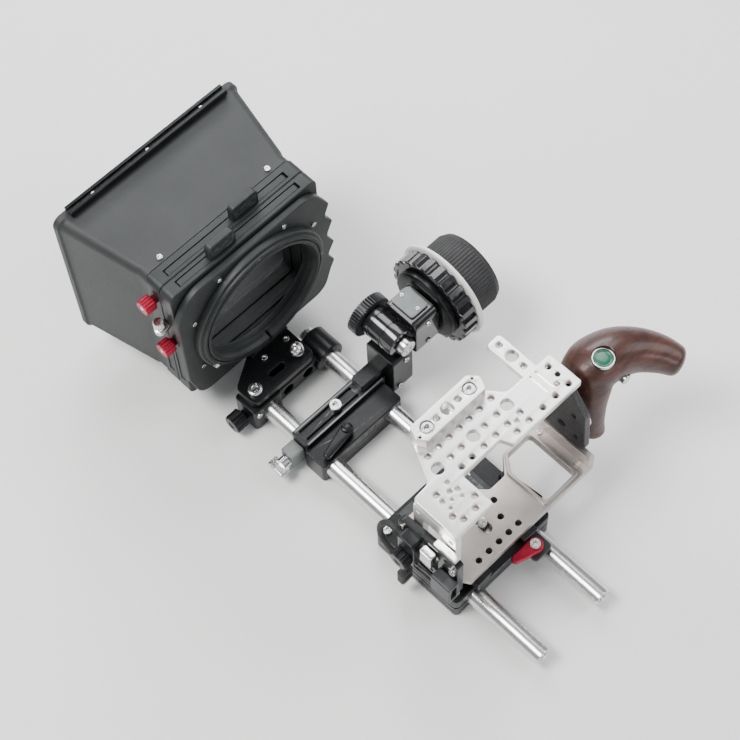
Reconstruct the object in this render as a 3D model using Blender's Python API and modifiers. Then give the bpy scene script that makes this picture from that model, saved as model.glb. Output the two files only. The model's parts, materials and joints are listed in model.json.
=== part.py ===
"""Cinema camera rig: a 15 mm rod support with a perforated camera cage, a wooden side grip, a video
cable clamp with its pigtail, a follow focus and a matte box on the front of the rods.

Sizes are millimetres here and MM turns them into metres. +X is camera right, +Y points to the lens
and +Z is up. The origin is the middle of the baseplate's foot, on the surface that the rig stands on.
"""

import math

import bmesh
import bpy
from mathutils import Matrix, Vector

MM = 0.001
GAP = 0.3
WELD = 0.001

# Rods
ROD_R = 7.5
ROD_X = 30.0
ROD_Z = 13.0
ROD_LENGTH = 300.0
ROD_FRONT = 194.0
ROD_REAR = ROD_FRONT - ROD_LENGTH
BORE_R = 7.95

# Baseplate and quick release
BASE_HALF_X = 48.0
BASE_HALF_Y = 40.0
BASE_TOP = 24.0
RECEIVER_TOP = 34.0
GROOVE_FLOOR = 28.0
CLAMP_STUD_X = 43.0
LOCK_PIVOT = (20.0, -50.0)

# Cage
SEAT_Z = 46.0
FLOOR_PLATE = 6.0
CAGE_REAR = -41.0
ROOF_Z = 131.0
ROOF_PLATE = 5.5
WALL_X = -46.0
WALL = 5.7
RAIL_TOP = 142.0
RAIL_Y = 29.5
RAIL_SCREW_XS = (-6.0, 34.0)
RAIL_SCREW_SEAT = 137.0
SIDE_X = 84.0

# Side grip
GRIP_Y = -11.0
GRIP_Z = 73.0
GRIP_FACE_X = 100.6
ROSETTE_R = 15.0
BUTTON_X = 132.0
BUTTON_Z = 97.0
BUTTON_FACE = -28.0

# Follow focus
FOCUS_Y = 127.0
WHEEL_Z = 63.0
BRIDGE_TOP = 28.0
JAW_Y = FOCUS_Y + 1.0
SPINDLE_X = 57.0
WHEEL_X = 90.3

# Matte box
OPTICAL_Z = ROD_Z + 85.0
SWING = (-34.0, 177.0)
ARM_Z = 26.3
BACKPLATE_Y = 203.3
STAGE_Y = 209.3
HOOD_Y = 235.3
HOOD_FRONT = 312.0
TRAY_YS = {"rear": 215.0, "front": 227.0}

FINE = 28
ROUND = 20
SMALL = 10
TINY = 8
PIN = 6

AXES = {"X": Vector((1, 0, 0)), "Y": Vector((0, 1, 0)), "Z": Vector((0, 0, 1))}
# Columns: where an outline's two directions and its thickness point.
OUTLINE_FRAMES = {
    "X": Matrix(((0, 0, 1, 0), (1, 0, 0, 0), (0, 1, 0, 0), (0, 0, 0, 1))),
    "Y": Matrix(((1, 0, 0, 0), (0, 0, -1, 0), (0, 1, 0, 0), (0, 0, 0, 1))),
    "Z": Matrix.Identity(4),
}


def clear_scene():
    for obj in list(bpy.data.objects):
        bpy.data.objects.remove(obj, do_unlink=True)


def new_collection(name):
    collection = bpy.data.collections.new(name)
    bpy.context.scene.collection.children.link(collection)
    return collection


def material(name, colour, roughness, metallic):
    look = bpy.data.materials.new(name)
    look.use_nodes = True
    shader = look.node_tree.nodes["Principled BSDF"]
    shader.inputs["Base Color"].default_value = (*colour, 1.0)
    shader.inputs["Roughness"].default_value = roughness
    shader.inputs["Metallic"].default_value = metallic
    look.diffuse_color = (*colour, 1.0)
    return look


# ---------------------------------------------------------------- outlines


def circle(centre, radius, sides=SMALL):
    turns = [2 * math.pi * i / sides for i in range(sides)]
    return [(centre[0] + radius * math.cos(a), centre[1] + radius * math.sin(a)) for a in turns]


def arc(centre, radius, start, end, steps):
    """Points on a circle between two angles in radians, both ends included."""
    angles = [start + (end - start) * i / steps for i in range(steps + 1)]
    return [(centre[0] + radius * math.cos(a), centre[1] + radius * math.sin(a)) for a in angles]


def rounded(corners, steps=3):
    """An outline from (x, y, radius) corners, each rounded by an arc of that radius."""
    points = []
    for i, (x, y, radius) in enumerate(corners):
        corner = Vector((x, y))
        before = (Vector(corners[i - 1][:2]) - corner).normalized()
        after = (Vector(corners[(i + 1) % len(corners)][:2]) - corner).normalized()
        if radius == 0:
            points.append((x, y))
            continue
        half = before.angle(after) / 2
        centre = corner + (before + after).normalized() * (radius / math.sin(half))
        first = corner + before * (radius / math.tan(half)) - centre
        last = corner + after * (radius / math.tan(half)) - centre
        start = math.atan2(first.y, first.x)
        turn = math.remainder(math.atan2(last.y, last.x) - start, 2 * math.pi)
        points += arc(centre, radius, start, start + turn, steps)
    return points


def rectangle(low, high, radius=0.0, steps=3):
    (x0, y0), (x1, y1) = low, high
    return rounded([(x0, y0, radius), (x1, y0, radius), (x1, y1, radius), (x0, y1, radius)], steps)


def tapered(big, big_radius, small, small_radius, steps=6):
    """The outline round two circles, as a lever seen from above."""
    along = Vector(small) - Vector(big)
    heading = math.atan2(along.y, along.x)
    lean = math.acos((big_radius - small_radius) / along.length)
    back = arc(big, big_radius, heading + lean, heading + 2 * math.pi - lean, steps)
    return back + arc(small, small_radius, heading - lean, heading + lean, steps)


def toothed(centre, root, tip, teeth):
    """A gear's outline, with four points to a tooth."""
    points = []
    for i in range(teeth):
        for share, radius in ((0.0, root), (0.22, tip), (0.5, tip), (0.72, root)):
            angle = 2 * math.pi * (i + share) / teeth
            points.append((centre[0] + radius * math.cos(angle), centre[1] + radius * math.sin(angle)))
    return points


# ---------------------------------------------------------------- solids


def add_box(solid, low, high):
    low, high = Vector(low), Vector(high)
    place = Matrix.Translation((low + high) / 2) @ Matrix.Diagonal((*(high - low), 1))
    bmesh.ops.create_cube(solid, size=1.0, matrix=place)


def add_cylinder(solid, start, end, radius, sides=ROUND, end_radius=None):
    start, end = Vector(start), Vector(end)
    along = end - start
    turn = along.to_track_quat("Z", "Y").to_matrix().to_4x4()
    bmesh.ops.create_cone(
        solid,
        cap_ends=True,
        segments=sides,
        radius1=radius,
        radius2=radius if end_radius is None else end_radius,
        depth=along.length,
        matrix=Matrix.Translation((start + end) / 2) @ turn,
    )


def add_evaluated(solid, data, place, modify=None):
    """Adds what Blender makes of a curve or a profile, welded into closed bodies."""
    helper = bpy.data.objects.new("helper", data)
    bpy.context.scene.collection.objects.link(helper)
    if modify:
        modify(helper)
    graph = bpy.context.evaluated_depsgraph_get()
    mesh = bpy.data.meshes.new_from_object(helper.evaluated_get(graph))
    piece = bmesh.new()
    piece.from_mesh(mesh)
    bmesh.ops.remove_doubles(piece, verts=piece.verts, dist=WELD)
    bmesh.ops.recalc_face_normals(piece, faces=piece.faces)
    piece.transform(place)
    joined = bpy.data.meshes.new("joined")
    piece.to_mesh(joined)
    piece.free()
    solid.from_mesh(joined)
    bpy.data.objects.remove(helper)


def add_prism(solid, axis, low, high, outline, holes=()):
    """A flat outline with holes, made thick from low to high along an axis."""
    curve = bpy.data.curves.new("outline", "CURVE")
    curve.dimensions = "2D"
    curve.fill_mode = "BOTH"
    curve.extrude = (high - low) / 2
    for loop in (outline, *holes):
        spline = curve.splines.new("POLY")
        spline.points.add(len(loop) - 1)
        for point, (u, v) in zip(spline.points, loop):
            point.co = (u, v, 0, 1)
        spline.use_cyclic_u = True
    middle = Matrix.Translation(AXES[axis] * (low + high) / 2)
    add_evaluated(solid, curve, middle @ OUTLINE_FRAMES[axis])


def add_turned(solid, axis, centre, profile, sides=ROUND, closed=False):
    """Turns a (radius, height) profile round an axis through centre. A closed profile makes a ring."""
    mesh = bpy.data.meshes.new("profile")
    count = len(profile)
    edges = [(i, (i + 1) % count) for i in range(count if closed else count - 1)]
    mesh.from_pydata([(radius, 0, height) for radius, height in profile], edges, [])

    def screw(helper):
        modifier = helper.modifiers.new("Screw", "SCREW")
        modifier.steps = modifier.render_steps = sides
        modifier.use_merge_vertices = True
        modifier.merge_threshold = 0.0001

    turn = AXES[axis].to_track_quat("Z", "Y").to_matrix().to_4x4()
    add_evaluated(solid, mesh, Matrix.Translation(centre) @ turn, screw)


def add_loft(solid, sections, sides):
    """Skins rounded sections of (centre, across, up) vectors, closed by a point just past each end."""
    rings = []
    for centre, across, up in sections:
        ring = []
        for i in range(sides):
            angle = 2 * math.pi * i / sides
            ring.append(solid.verts.new(centre + across * math.cos(angle) + up * math.sin(angle)))
        rings.append(ring)
    for lower, upper in zip(rings, rings[1:]):
        for i in range(sides):
            j = (i + 1) % sides
            solid.faces.new((lower[i], lower[j], upper[j], upper[i]))
    ends = ((rings[0], sections[0], sections[1]), (rings[-1], sections[-1], sections[-2]))
    for ring, end, inner in ends:
        outward = (end[0] - inner[0]).normalized() * end[2].length * 0.45
        tip = solid.verts.new(end[0] + outward)
        for i in range(sides):
            solid.faces.new((ring[i], ring[(i + 1) % sides], tip))
    bmesh.ops.recalc_face_normals(solid, faces=solid.faces)


def add_cap_screw(solid, seat, out, head_radius, head_height, shank_radius, shank_length):
    """A cap screw as one turned body: its seat under the head, its head pointing out."""
    axis = Vector(out).normalized()
    seat = Vector(seat)
    turn = axis.to_track_quat("Z", "Y").to_matrix().to_4x4()
    socket = head_radius * 0.5
    profile = [
        (0, head_height * 0.45),
        (socket, head_height * 0.45),
        (socket, head_height),
        (head_radius * 0.88, head_height),
        (head_radius, head_height * 0.85),
        (head_radius, 0),
        (shank_radius, 0),
        (shank_radius, -shank_length),
        (0, -shank_length),
    ]
    before = len(solid.verts)
    add_turned(solid, "Z", (0, 0, 0), profile, SMALL)
    solid.verts.ensure_lookup_table()
    bmesh.ops.transform(solid, matrix=Matrix.Translation(seat) @ turn, verts=solid.verts[before:])


# ---------------------------------------------------------------- nodes


def stored(name, solid, collection, pivot):
    """Turns a solid in world millimetres into an object in metres whose origin is the pivot."""
    solid.transform(Matrix.Scale(MM, 4) @ Matrix.Translation(-Vector(pivot)))
    mesh = bpy.data.meshes.new(name)
    solid.to_mesh(mesh)
    solid.free()
    obj = bpy.data.objects.new(name, mesh)
    obj.location = Vector(pivot) * MM
    collection.objects.link(obj)
    return obj


def part(name, solid, look, pivot=(0, 0, 0), join=None, cut=None):
    """One node: its first solid, a solid to unite with it and a solid to cut from it."""
    obj = stored(name, solid, PARTS, pivot)
    obj.data.materials.append(look)
    for operation, tool in (("UNION", join), ("DIFFERENCE", cut)):
        if tool is None:
            continue
        helper = stored(f"{name}_{operation.lower()}", tool, CUTTERS, pivot)
        helper.hide_render = True
        helper.display_type = "WIRE"
        modifier = obj.modifiers.new(operation.title(), "BOOLEAN")
        modifier.object = helper
        modifier.operation = operation
        modifier.solver = "EXACT"
        modifier.use_self = True
    obj.data.shade_smooth()
    obj.data.set_sharp_from_angle(angle=math.radians(30))
    return obj


def rod_bores(low, high, radius=BORE_R):
    """The cutter for both rod bores between two places along Y."""
    bores = bmesh.new()
    for x in (-ROD_X, ROD_X):
        add_cylinder(bores, (x, low, ROD_Z), (x, high, ROD_Z), radius, 16)
    return bores


# ---------------------------------------------------------------- rods, baseplate, quick release


def build_rods():
    thread_r, thread_depth, chamfer = 5.1, 16.0, 0.8
    profile = [
        (0, ROD_REAR + thread_depth),
        (thread_r, ROD_REAR + thread_depth),
        (thread_r, ROD_REAR),
        (ROD_R - chamfer, ROD_REAR),
        (ROD_R, ROD_REAR + chamfer),
        (ROD_R, ROD_FRONT - chamfer),
        (ROD_R - chamfer, ROD_FRONT),
        (thread_r, ROD_FRONT),
        (thread_r, ROD_FRONT - thread_depth),
        (0, ROD_FRONT - thread_depth),
    ]
    for side, x in (("left", -ROD_X), ("right", ROD_X)):
        solid = bmesh.new()
        add_turned(solid, "Y", (x, 0, ROD_Z), profile)
        part(f"rod_{side}", solid, SILVER)


def build_baseplate():
    body = bmesh.new()
    outline = rectangle((-BASE_HALF_X, -BASE_HALF_Y), (BASE_HALF_X, BASE_HALF_Y), 4.0)
    threads = [circle((0, -12), 3.2, SMALL), circle((0, 10), 4.8, SMALL)]
    studs = [circle((x, 0), 2.9, SMALL) for x in (-CLAMP_STUD_X, CLAMP_STUD_X)]
    add_prism(body, "Z", 0, BASE_TOP, outline, threads + studs)
    cutter = rod_bores(-BASE_HALF_Y - 1, BASE_HALF_Y + 1)
    for low, high in ((-BASE_HALF_X - 1, -ROD_X - 6), (ROD_X + 6, BASE_HALF_X + 1)):
        add_box(cutter, (low, -BASE_HALF_Y - 1, ROD_Z - 0.8), (high, BASE_HALF_Y + 1, ROD_Z + 0.8))
    part("baseplate_body", body, BLACK, cut=cutter)


def build_rod_clamp_levers():
    for side, x, lean in (("left", -CLAMP_STUD_X, -1.0), ("right", CLAMP_STUD_X, 5.0)):
        solid = bmesh.new()
        outline = tapered((x, 0), 5.0, (x + lean, -27), 3.2, 5)
        add_prism(solid, "Z", BASE_TOP + 3.0, BASE_TOP + 9.0, outline)
        stud = bmesh.new()
        add_cylinder(stud, (x, 0, 3), (x, 0, BASE_TOP + 4), 2.5, SMALL)
        add_cylinder(stud, (x, 0, BASE_TOP + GAP), (x, 0, BASE_TOP + 12), 4.4, SMALL)
        part(f"rod_clamp_lever_{side}", solid, BLACK, (x, 0, BASE_TOP), join=stud)


def build_quick_release():
    rear, front = -43.5, 34.0
    section = [
        (-30, BASE_TOP + GAP),
        (30, BASE_TOP + GAP),
        (30, RECEIVER_TOP),
        (16, RECEIVER_TOP),
        (19, GROOVE_FLOOR),
        (-19, GROOVE_FLOOR),
        (-16, RECEIVER_TOP),
        (-30, RECEIVER_TOP),
    ]
    receiver = bmesh.new()
    add_prism(receiver, "Y", rear, front, section)
    tab = bmesh.new()
    add_prism(tab, "Z", BASE_TOP + GAP, GROOVE_FLOOR, rectangle((13, -58), (30, rear + 5), 3.0))
    holes = bmesh.new()
    add_cylinder(holes, (*LOCK_PIVOT, BASE_TOP), (*LOCK_PIVOT, GROOVE_FLOOR + 1), 2.0, SMALL)
    part("quick_release_receiver", receiver, DARK, join=tab, cut=holes)

    lever = bmesh.new()
    outline = tapered(LOCK_PIVOT, 6.0, (3.0, -47.6), 3.0, 6)
    add_prism(lever, "Z", GROOVE_FLOOR + GAP, GROOVE_FLOOR + 5.5, outline, [circle(LOCK_PIVOT, 2.6)])
    part("quick_release_lever", lever, RED, (*LOCK_PIVOT, GROOVE_FLOOR))

    pin = bmesh.new()
    profile = [(0, 35.6), (3.6, 35.6), (4.0, 34.8), (4.0, 33.8), (1.7, 33.8), (1.7, 25.0), (0, 25.0)]
    add_turned(pin, "Z", (*LOCK_PIVOT, 0), profile, SMALL)
    part("quick_release_lever_pin", pin, STEEL)

    foot = 18.4
    neck = foot - 3.0
    section = [
        (-foot, GROOVE_FLOOR + GAP),
        (foot, GROOVE_FLOOR + GAP),
        (neck, RECEIVER_TOP + GAP),
        (24, RECEIVER_TOP + GAP),
        (24, SEAT_Z - FLOOR_PLATE - GAP),
        (-24, SEAT_Z - FLOOR_PLATE - GAP),
        (-24, RECEIVER_TOP + GAP),
        (-neck, RECEIVER_TOP + GAP),
    ]
    plate = bmesh.new()
    add_prism(plate, "Y", -36, 22, section)
    pocket = bmesh.new()
    add_cylinder(pocket, (1.4, -17, 34.8), (1.4, -17, 41), 7.2, ROUND)
    part("quick_release_plate", plate, DARK, cut=pocket)


# ---------------------------------------------------------------- cage


def build_cage_floor():
    low, high = SEAT_Z - FLOOR_PLATE, SEAT_Z
    outline = rounded(
        [
            (-35, CAGE_REAR, 1.5),
            (90, CAGE_REAR, 2.5),
            (90, 10, 2.5),
            (50, 10, 2.5),
            (38.5, -2.5, 2.5),
            (24, -2.5, 4),
            (16, 6, 4),
            (16, 24, 4),
            (-40, 24, 3),
            (-40, -33, 2),
        ]
    )
    corners = ((44, -36.5), (74, -36.5), (74, 6.5), (52, 6.5), (43, -4.5))
    window = rounded([(x, y, 3.5) for x, y in corners])
    rear_row = [circle((x, -34), 2.3, 10) for x in (-20, -10, 0, 9.7, 19.3)]
    singles = [circle(place, 2.3, 10) for place in ((14.3, -22), (20, -10))]
    slot = rounded([(-2.1, -25, 3.4), (4.9, -25, 3.4), (4.9, -11, 3.4), (-2.1, -11, 3.4)])
    solid = bmesh.new()
    add_prism(solid, "Z", low, high, outline, [window, slot, *rear_row, *singles])
    flange = bmesh.new()
    add_box(flange, (SIDE_X, CAGE_REAR + 0.5, high - 1), (89.8, 9.5, 58))
    lip = rounded([(41.5, -38.5, 2), (77, -38.5, 4), (77, 8.8, 4), (50.6, 8.8, 4), (40.6, -3, 4)])
    add_prism(flange, "Z", high - 1, high + 2, lip, [window])
    part("cage_floor_plate", solid, CAGE_SHADE, join=flange)

    screw = bmesh.new()
    profile = [
        (0, 52.5),
        (2.6, 52.5),
        (3.1, 51.8),
        (3.1, 39.4),
        (6.6, 39.4),
        (6.6, 35.8),
        (4.0, 35.8),
        (4.0, 37.2),
        (0, 37.2),
    ]
    add_turned(screw, "Z", (1.4, -17, 0), profile, SMALL)
    part("camera_screw", screw, STEEL)


def roof_holes():
    """The threaded and locating holes of the roof plate, by size."""
    thread_r, large_r, small_r, pin_r = 2.5, 4.5, 1.9, 1.3
    threads = [(x, 18) for x in (-17, -7, 3, 12.6, 22, 32, 43)]
    threads += [(x, 7) for x in (-6.7, 3.3, 25.4, 37, 87.4)]
    threads += [(x, -3) for x in (-6.7, 3.3, 14.4, 25.7, 37, 49)]
    threads += [(x, -11.3) for x in (37.4, 49, 62.3, 74.7, 87.4)]
    threads += [(-33, -5.6), (-36.4, -23.6), (-15.7, -23.6), (-32.6, -30), (-21.7, -30)]
    large = [(-18.6, 7), (14.7, 7), (47, 7)]
    small = [(43, -6), (82, -6), (87.4, -1.4), (-25, -10), (-21.4, -4.3), (-20, -12.4), (-33.6, -11.7)]
    pins = [(-28, -15), (-33, -18.6), (-21.4, -18)]
    holes = [circle(place, thread_r, TINY) for place in threads]
    holes += [circle(place, large_r, 14) for place in large]
    holes += [circle(place, small_r, PIN) for place in small]
    holes += [circle(place, pin_r, PIN) for place in pins]
    return holes


def build_cage_roof():
    low = ROOF_Z - ROOF_PLATE
    outline = rounded(
        [
            (-17, 33, 3),
            (-31, 4, 6),
            (-46, 3, 3),
            (-46, -36, 2),
            (-11, -36, 2),
            (-11, -8, 2),
            (25, -7.5, 2),
            (29, -16.5, 3),
            (95, -16.5, 1.5),
            (95, 13, 1.5),
            (54, 13.5, 8),
            (44, 26, 5),
            (43, 36, 4),
            (-12, 36, 4),
        ]
    )
    solid = bmesh.new()
    add_prism(solid, "Z", low, ROOF_Z, outline, roof_holes())
    slots = bmesh.new()
    for x in (73.0, 78.5):
        add_box(slots, (x - 0.9, -6, ROOF_Z - 2.5), (x + 0.9, 11, ROOF_Z + 1))
    part("cage_roof_plate", solid, CAGE, cut=slots)

    rail = bmesh.new()
    corners = [(-14, 38, 3), (39.6, 38, 3), (46, 31, 3), (42, 21.5, 3), (-13, 21.5, 3), (-17.6, 29, 3)]
    holes = [circle((x, RAIL_Y), 2.4, 10) for x in (3, 23)] + [circle((13, RAIL_Y), 4.5, 16)]
    add_prism(rail, "Z", ROOF_Z + GAP, RAIL_TOP, rounded(corners), holes)
    bores = bmesh.new()
    for x in RAIL_SCREW_XS:
        add_cylinder(bores, (x, RAIL_Y, 130), (x, RAIL_Y, 143), 2.5, SMALL)
        add_cylinder(bores, (x, RAIL_Y, RAIL_SCREW_SEAT), (x, RAIL_Y, 143), 4.9, SMALL)
    part("cage_top_rail", rail, CAGE, cut=bores)

    for side, x in zip(("left", "right"), RAIL_SCREW_XS):
        screw = bmesh.new()
        add_cap_screw(screw, (x, RAIL_Y, RAIL_SCREW_SEAT + GAP), (0, 0, 1), 4.3, 4.0, 2.1, 5.8)
        part(f"top_rail_screw_{side}", screw, STEEL)

    arm = bmesh.new()
    outline = rounded([(72, -8, 1.5), (85, -8, 1.5), (85, 50, 3), (72, 50, 3)])
    holes = [circle((78.5, 44), 2.4, 10), circle((78.5, 32), 4.5, 16), circle((78.5, 21), 2.4, 10)]
    add_prism(arm, "Z", low - 6.3, low - GAP, outline, holes)
    part("cage_front_arm", arm, CAGE)


def build_cage_sides():
    wall = bmesh.new()
    top = ROOF_Z - ROOF_PLATE - GAP
    outline = rounded([(-36, 40, 4), (3, 40, 4), (3, top, 1), (-36, top, 1)])
    port = rectangle((-27, 66), (-6, 112), 5.0)
    add_prism(wall, "X", WALL_X, WALL_X + WALL, outline, [port])
    part("cage_left_wall", wall, CAGE)

    bracket = bmesh.new()
    front = [(9, 58.3, 2), (9, top, 1), (-14, top, 1)]
    rear = [(-30, 104, 8), (-33, 62, 5), (-28, 58.3, 2)]
    add_prism(bracket, "X", 86.0, 91.7, rounded(front + rear), [circle((GRIP_Y, GRIP_Z), 3.6)])
    part("grip_bracket", bracket, WRINKLE)


# ---------------------------------------------------------------- side grip


LIMB_SPINE = [
    ((108, -22, 47), 10.5, 8.5),
    ((108, -17, 59), 13.0, 10.5),
    ((110, -12, 73), 16.0, 12.5),
    ((114, -7, 86), 19.5, 15.0),
    ((119, -3, 96), 21.0, 16.0),
]
TAIL_SPINE = [
    ((113, -1, 96), 19.0, 15.5),
    ((125, -3, 98), 24.0, 18.5),
    ((140, -8, 100), 22.5, 18.0),
    ((153, -17, 99), 19.0, 16.0),
    ((163, -29, 96), 16.0, 14.0),
    ((169, -41, 93), 12.5, 11.5),
]


def limb_sections(spine):
    """Rounded sections square to a spine of (centre, half width, half depth)."""
    centres = [Vector(place) for place, _, _ in spine]
    last = len(spine) - 1
    sections = []
    for i, (_, wide, deep) in enumerate(spine):
        along = (centres[min(i + 1, last)] - centres[max(i - 1, 0)]).normalized()
        across = along.cross(Vector((1, 0.35, 0.75))).normalized()
        sections.append((centres[i], across * wide, across.cross(along).normalized() * deep))
    return sections


def build_grip():
    badge = (124.0, -11.0)
    badge_seat = 114.0
    wood = bmesh.new()
    add_loft(wood, limb_sections(LIMB_SPINE), 14)
    tail = bmesh.new()
    add_loft(tail, limb_sections(TAIL_SPINE), 14)
    cutter = bmesh.new()
    add_box(cutter, (70, -60, 30), (GRIP_FACE_X, 40, 130))
    add_cylinder(cutter, (95, GRIP_Y, GRIP_Z), (140, GRIP_Y, GRIP_Z), 3.6, SMALL)
    add_cylinder(cutter, (116, GRIP_Y, GRIP_Z), (140, GRIP_Y, GRIP_Z), 5.6, SMALL)
    add_cylinder(cutter, (*badge, badge_seat), (*badge, 130), 8.7, ROUND)
    add_cylinder(cutter, (BUTTON_X, -19, BUTTON_Z), (BUTTON_X, -50, BUTTON_Z), 4.6, SMALL)
    part("grip_wood", wood, WOOD, (GRIP_FACE_X, GRIP_Y, GRIP_Z), join=tail, cut=cutter)

    disc = bmesh.new()
    profile = [(0, 3.4), (6.4, 3.4), (6.9, 3.9), (7.8, 3.9), (8.3, 3.2), (8.3, GAP), (0, GAP)]
    add_turned(disc, "Z", (*badge, badge_seat), profile, ROUND)
    part("grip_badge", disc, GREEN)

    button = bmesh.new()
    rear = BUTTON_FACE + 6.5
    profile = [(0, rear), (4.1, rear), (4.1, BUTTON_FACE + 0.8), (3.5, BUTTON_FACE), (0, BUTTON_FACE)]
    add_turned(button, "Y", (BUTTON_X, 0, BUTTON_Z), profile, SMALL)
    part("run_button", button, STEEL, (BUTTON_X, BUTTON_FACE, BUTTON_Z))

    for name, low, look in (("bracket_rosette", 92.0, STEEL), ("grip_rosette", 96.3, STEEL)):
        rosette = bmesh.new()
        outline = toothed((GRIP_Y, GRIP_Z), ROSETTE_R - 1.2, ROSETTE_R, 16)
        add_prism(rosette, "X", low, low + 4.0, outline, [circle((GRIP_Y, GRIP_Z), 3.6)])
        part(name, rosette, look, (low, GRIP_Y, GRIP_Z))

    bolt = bmesh.new()
    add_cap_screw(bolt, (116 + GAP, GRIP_Y, GRIP_Z), (1, 0, 0), 5.0, 5.0, 3.0, 28.0)
    part("grip_bolt", bolt, STEEL, (116, GRIP_Y, GRIP_Z))


# ---------------------------------------------------------------- video cable clamp and pigtail

CABLE_R = 2.2
CABLE_EXIT = (-56.5, 9.0, 90.0)
CABLE_ROUTE = [
    (-56.5, 9.3, 90.0),
    (-56.5, 12.0, 90.2),
    (-56.7, 15.0, 89.6),
    (-57.2, 18.0, 87.8),
    (-57.9, 20.3, 84.8),
    (-58.6, 21.6, 80.6),
    (-59.1, 22.0, 76.0),
    (-59.5, 21.5, 71.0),
    (-59.6, 20.0, 66.0),
    (-59.4, 17.6, 61.2),
    (-59.0, 14.6, 56.6),
    (-58.4, 11.2, 52.2),
    (-57.9, 7.8, 48.0),
    (-57.4, 4.6, 44.0),
    (-57.1, 2.4, 40.0),
    (-57.0, 1.2, 37.4),
    (-57.0, 1.0, 34.9),
]
PLUG_TOP = 34.1
CLAMP_KNOB = (-4.5, 78.0)


def smooth_route(points, step):
    """Even points along a Catmull-Rom curve through the route."""
    route = [Vector(p) for p in points]
    ends = [route[0] * 2 - route[1], *route, route[-1] * 2 - route[-2]]
    fine = []
    for a, b, c, d in zip(ends, ends[1:], ends[2:], ends[3:]):
        for i in range(8):
            t = i / 8
            bend = (2 * a - 5 * b + 4 * c - d) * t**2
            swing = (3 * b - a - 3 * c + d) * t**3
            fine.append(0.5 * (2 * b + (c - a) * t + bend + swing))
    fine.append(route[-1])
    lengths = [0.0]
    for p, q in zip(fine, fine[1:]):
        lengths.append(lengths[-1] + (q - p).length)
    count = round(lengths[-1] / step)
    even = []
    index = 0
    for i in range(count + 1):
        target = lengths[-1] * i / count
        while index < len(fine) - 2 and lengths[index + 1] < target:
            index += 1
        share = (target - lengths[index]) / (lengths[index + 1] - lengths[index])
        even.append(fine[index].lerp(fine[index + 1], share))
    return even


def build_cable():
    curve = bpy.data.curves.new("cable", "CURVE")
    curve.dimensions = "3D"
    curve.bevel_depth = CABLE_R * MM
    curve.bevel_resolution = 2
    curve.use_fill_caps = True
    spline = curve.splines.new("POLY")
    route = smooth_route(CABLE_ROUTE, 5.0)
    spline.points.add(len(route) - 1)
    for point, place in zip(spline.points, route):
        point.co = (*(place * MM), 1)
    obj = bpy.data.objects.new("video_cable", curve)
    curve.materials.append(RUBBER)
    PARTS.objects.link(obj)

    x, y = CABLE_ROUTE[-1][:2]
    plug = bmesh.new()
    outline = rectangle((x - 5.5, y - 3.2), (x + 5.5, y + 3.2), 1.6, 2)
    add_prism(plug, "Z", PLUG_TOP - 15.0, PLUG_TOP, outline)
    tip = bmesh.new()
    add_box(tip, (x - 3.8, y - 1.5, PLUG_TOP - 22.5), (x + 3.8, y + 1.5, PLUG_TOP - 14.0))
    part("video_plug", plug, RUBBER, join=tip)


def build_cable_clamp():
    face = WALL_X - GAP
    base = bmesh.new()
    outline = rounded([(-44, 58, 3), (11, 58, 3), (11, 99, 5), (-20, 104, 4), (-44, 104, 3)])
    add_prism(base, "X", face - 6.0, face, outline, [rectangle((-26, 68), (-8, 92), 3.0)])
    bridge = bmesh.new()
    add_box(bridge, (face - 15.0, -12, 68), (face - 5.0, 3, 98))
    bores = bmesh.new()
    add_cylinder(bores, (-80, *CLAMP_KNOB), (-40, *CLAMP_KNOB), 3.2, SMALL)
    part("cable_clamp_base", base, BLACK, join=bridge, cut=bores)

    gland = bmesh.new()
    profile = [(0, CABLE_EXIT[1]), (2.9, CABLE_EXIT[1]), (3.8, 4.8), (3.8, 3.3), (0, 3.3)]
    add_turned(gland, "Y", (CABLE_EXIT[0], 0, CABLE_EXIT[2]), profile, SMALL)
    part("cable_strain_relief", gland, RUBBER)

    jaw = bmesh.new()
    add_prism(jaw, "Z", 84, 99, rectangle((face - 13.0, -26), (face - 6.3, -15), 1.2, 2))
    part("cable_clamp_jaw", jaw, STEEL, (face - 9.6, -20.5, 84))

    knob = bmesh.new()
    knob_outline = toothed(CLAMP_KNOB, 6.8, 7.6, 10)
    add_prism(knob, "X", face - 23.0, face - 15.3, knob_outline)
    stem = bmesh.new()
    add_cylinder(stem, (face - 16, *CLAMP_KNOB), (face - 2, *CLAMP_KNOB), 2.6, SMALL)
    part("cable_clamp_knob", knob, BLACK, (face - 15.3, *CLAMP_KNOB), join=stem)

    port = bmesh.new()
    add_box(port, (face - 16.0, -46, 62), (face - 6.3, -29, 84))
    socket = bmesh.new()
    add_box(socket, (face - 13.8, -47, 65.5), (face - 8.4, -38, 80.5))
    part("video_port_block", port, DARK, cut=socket)


# ---------------------------------------------------------------- follow focus


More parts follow.
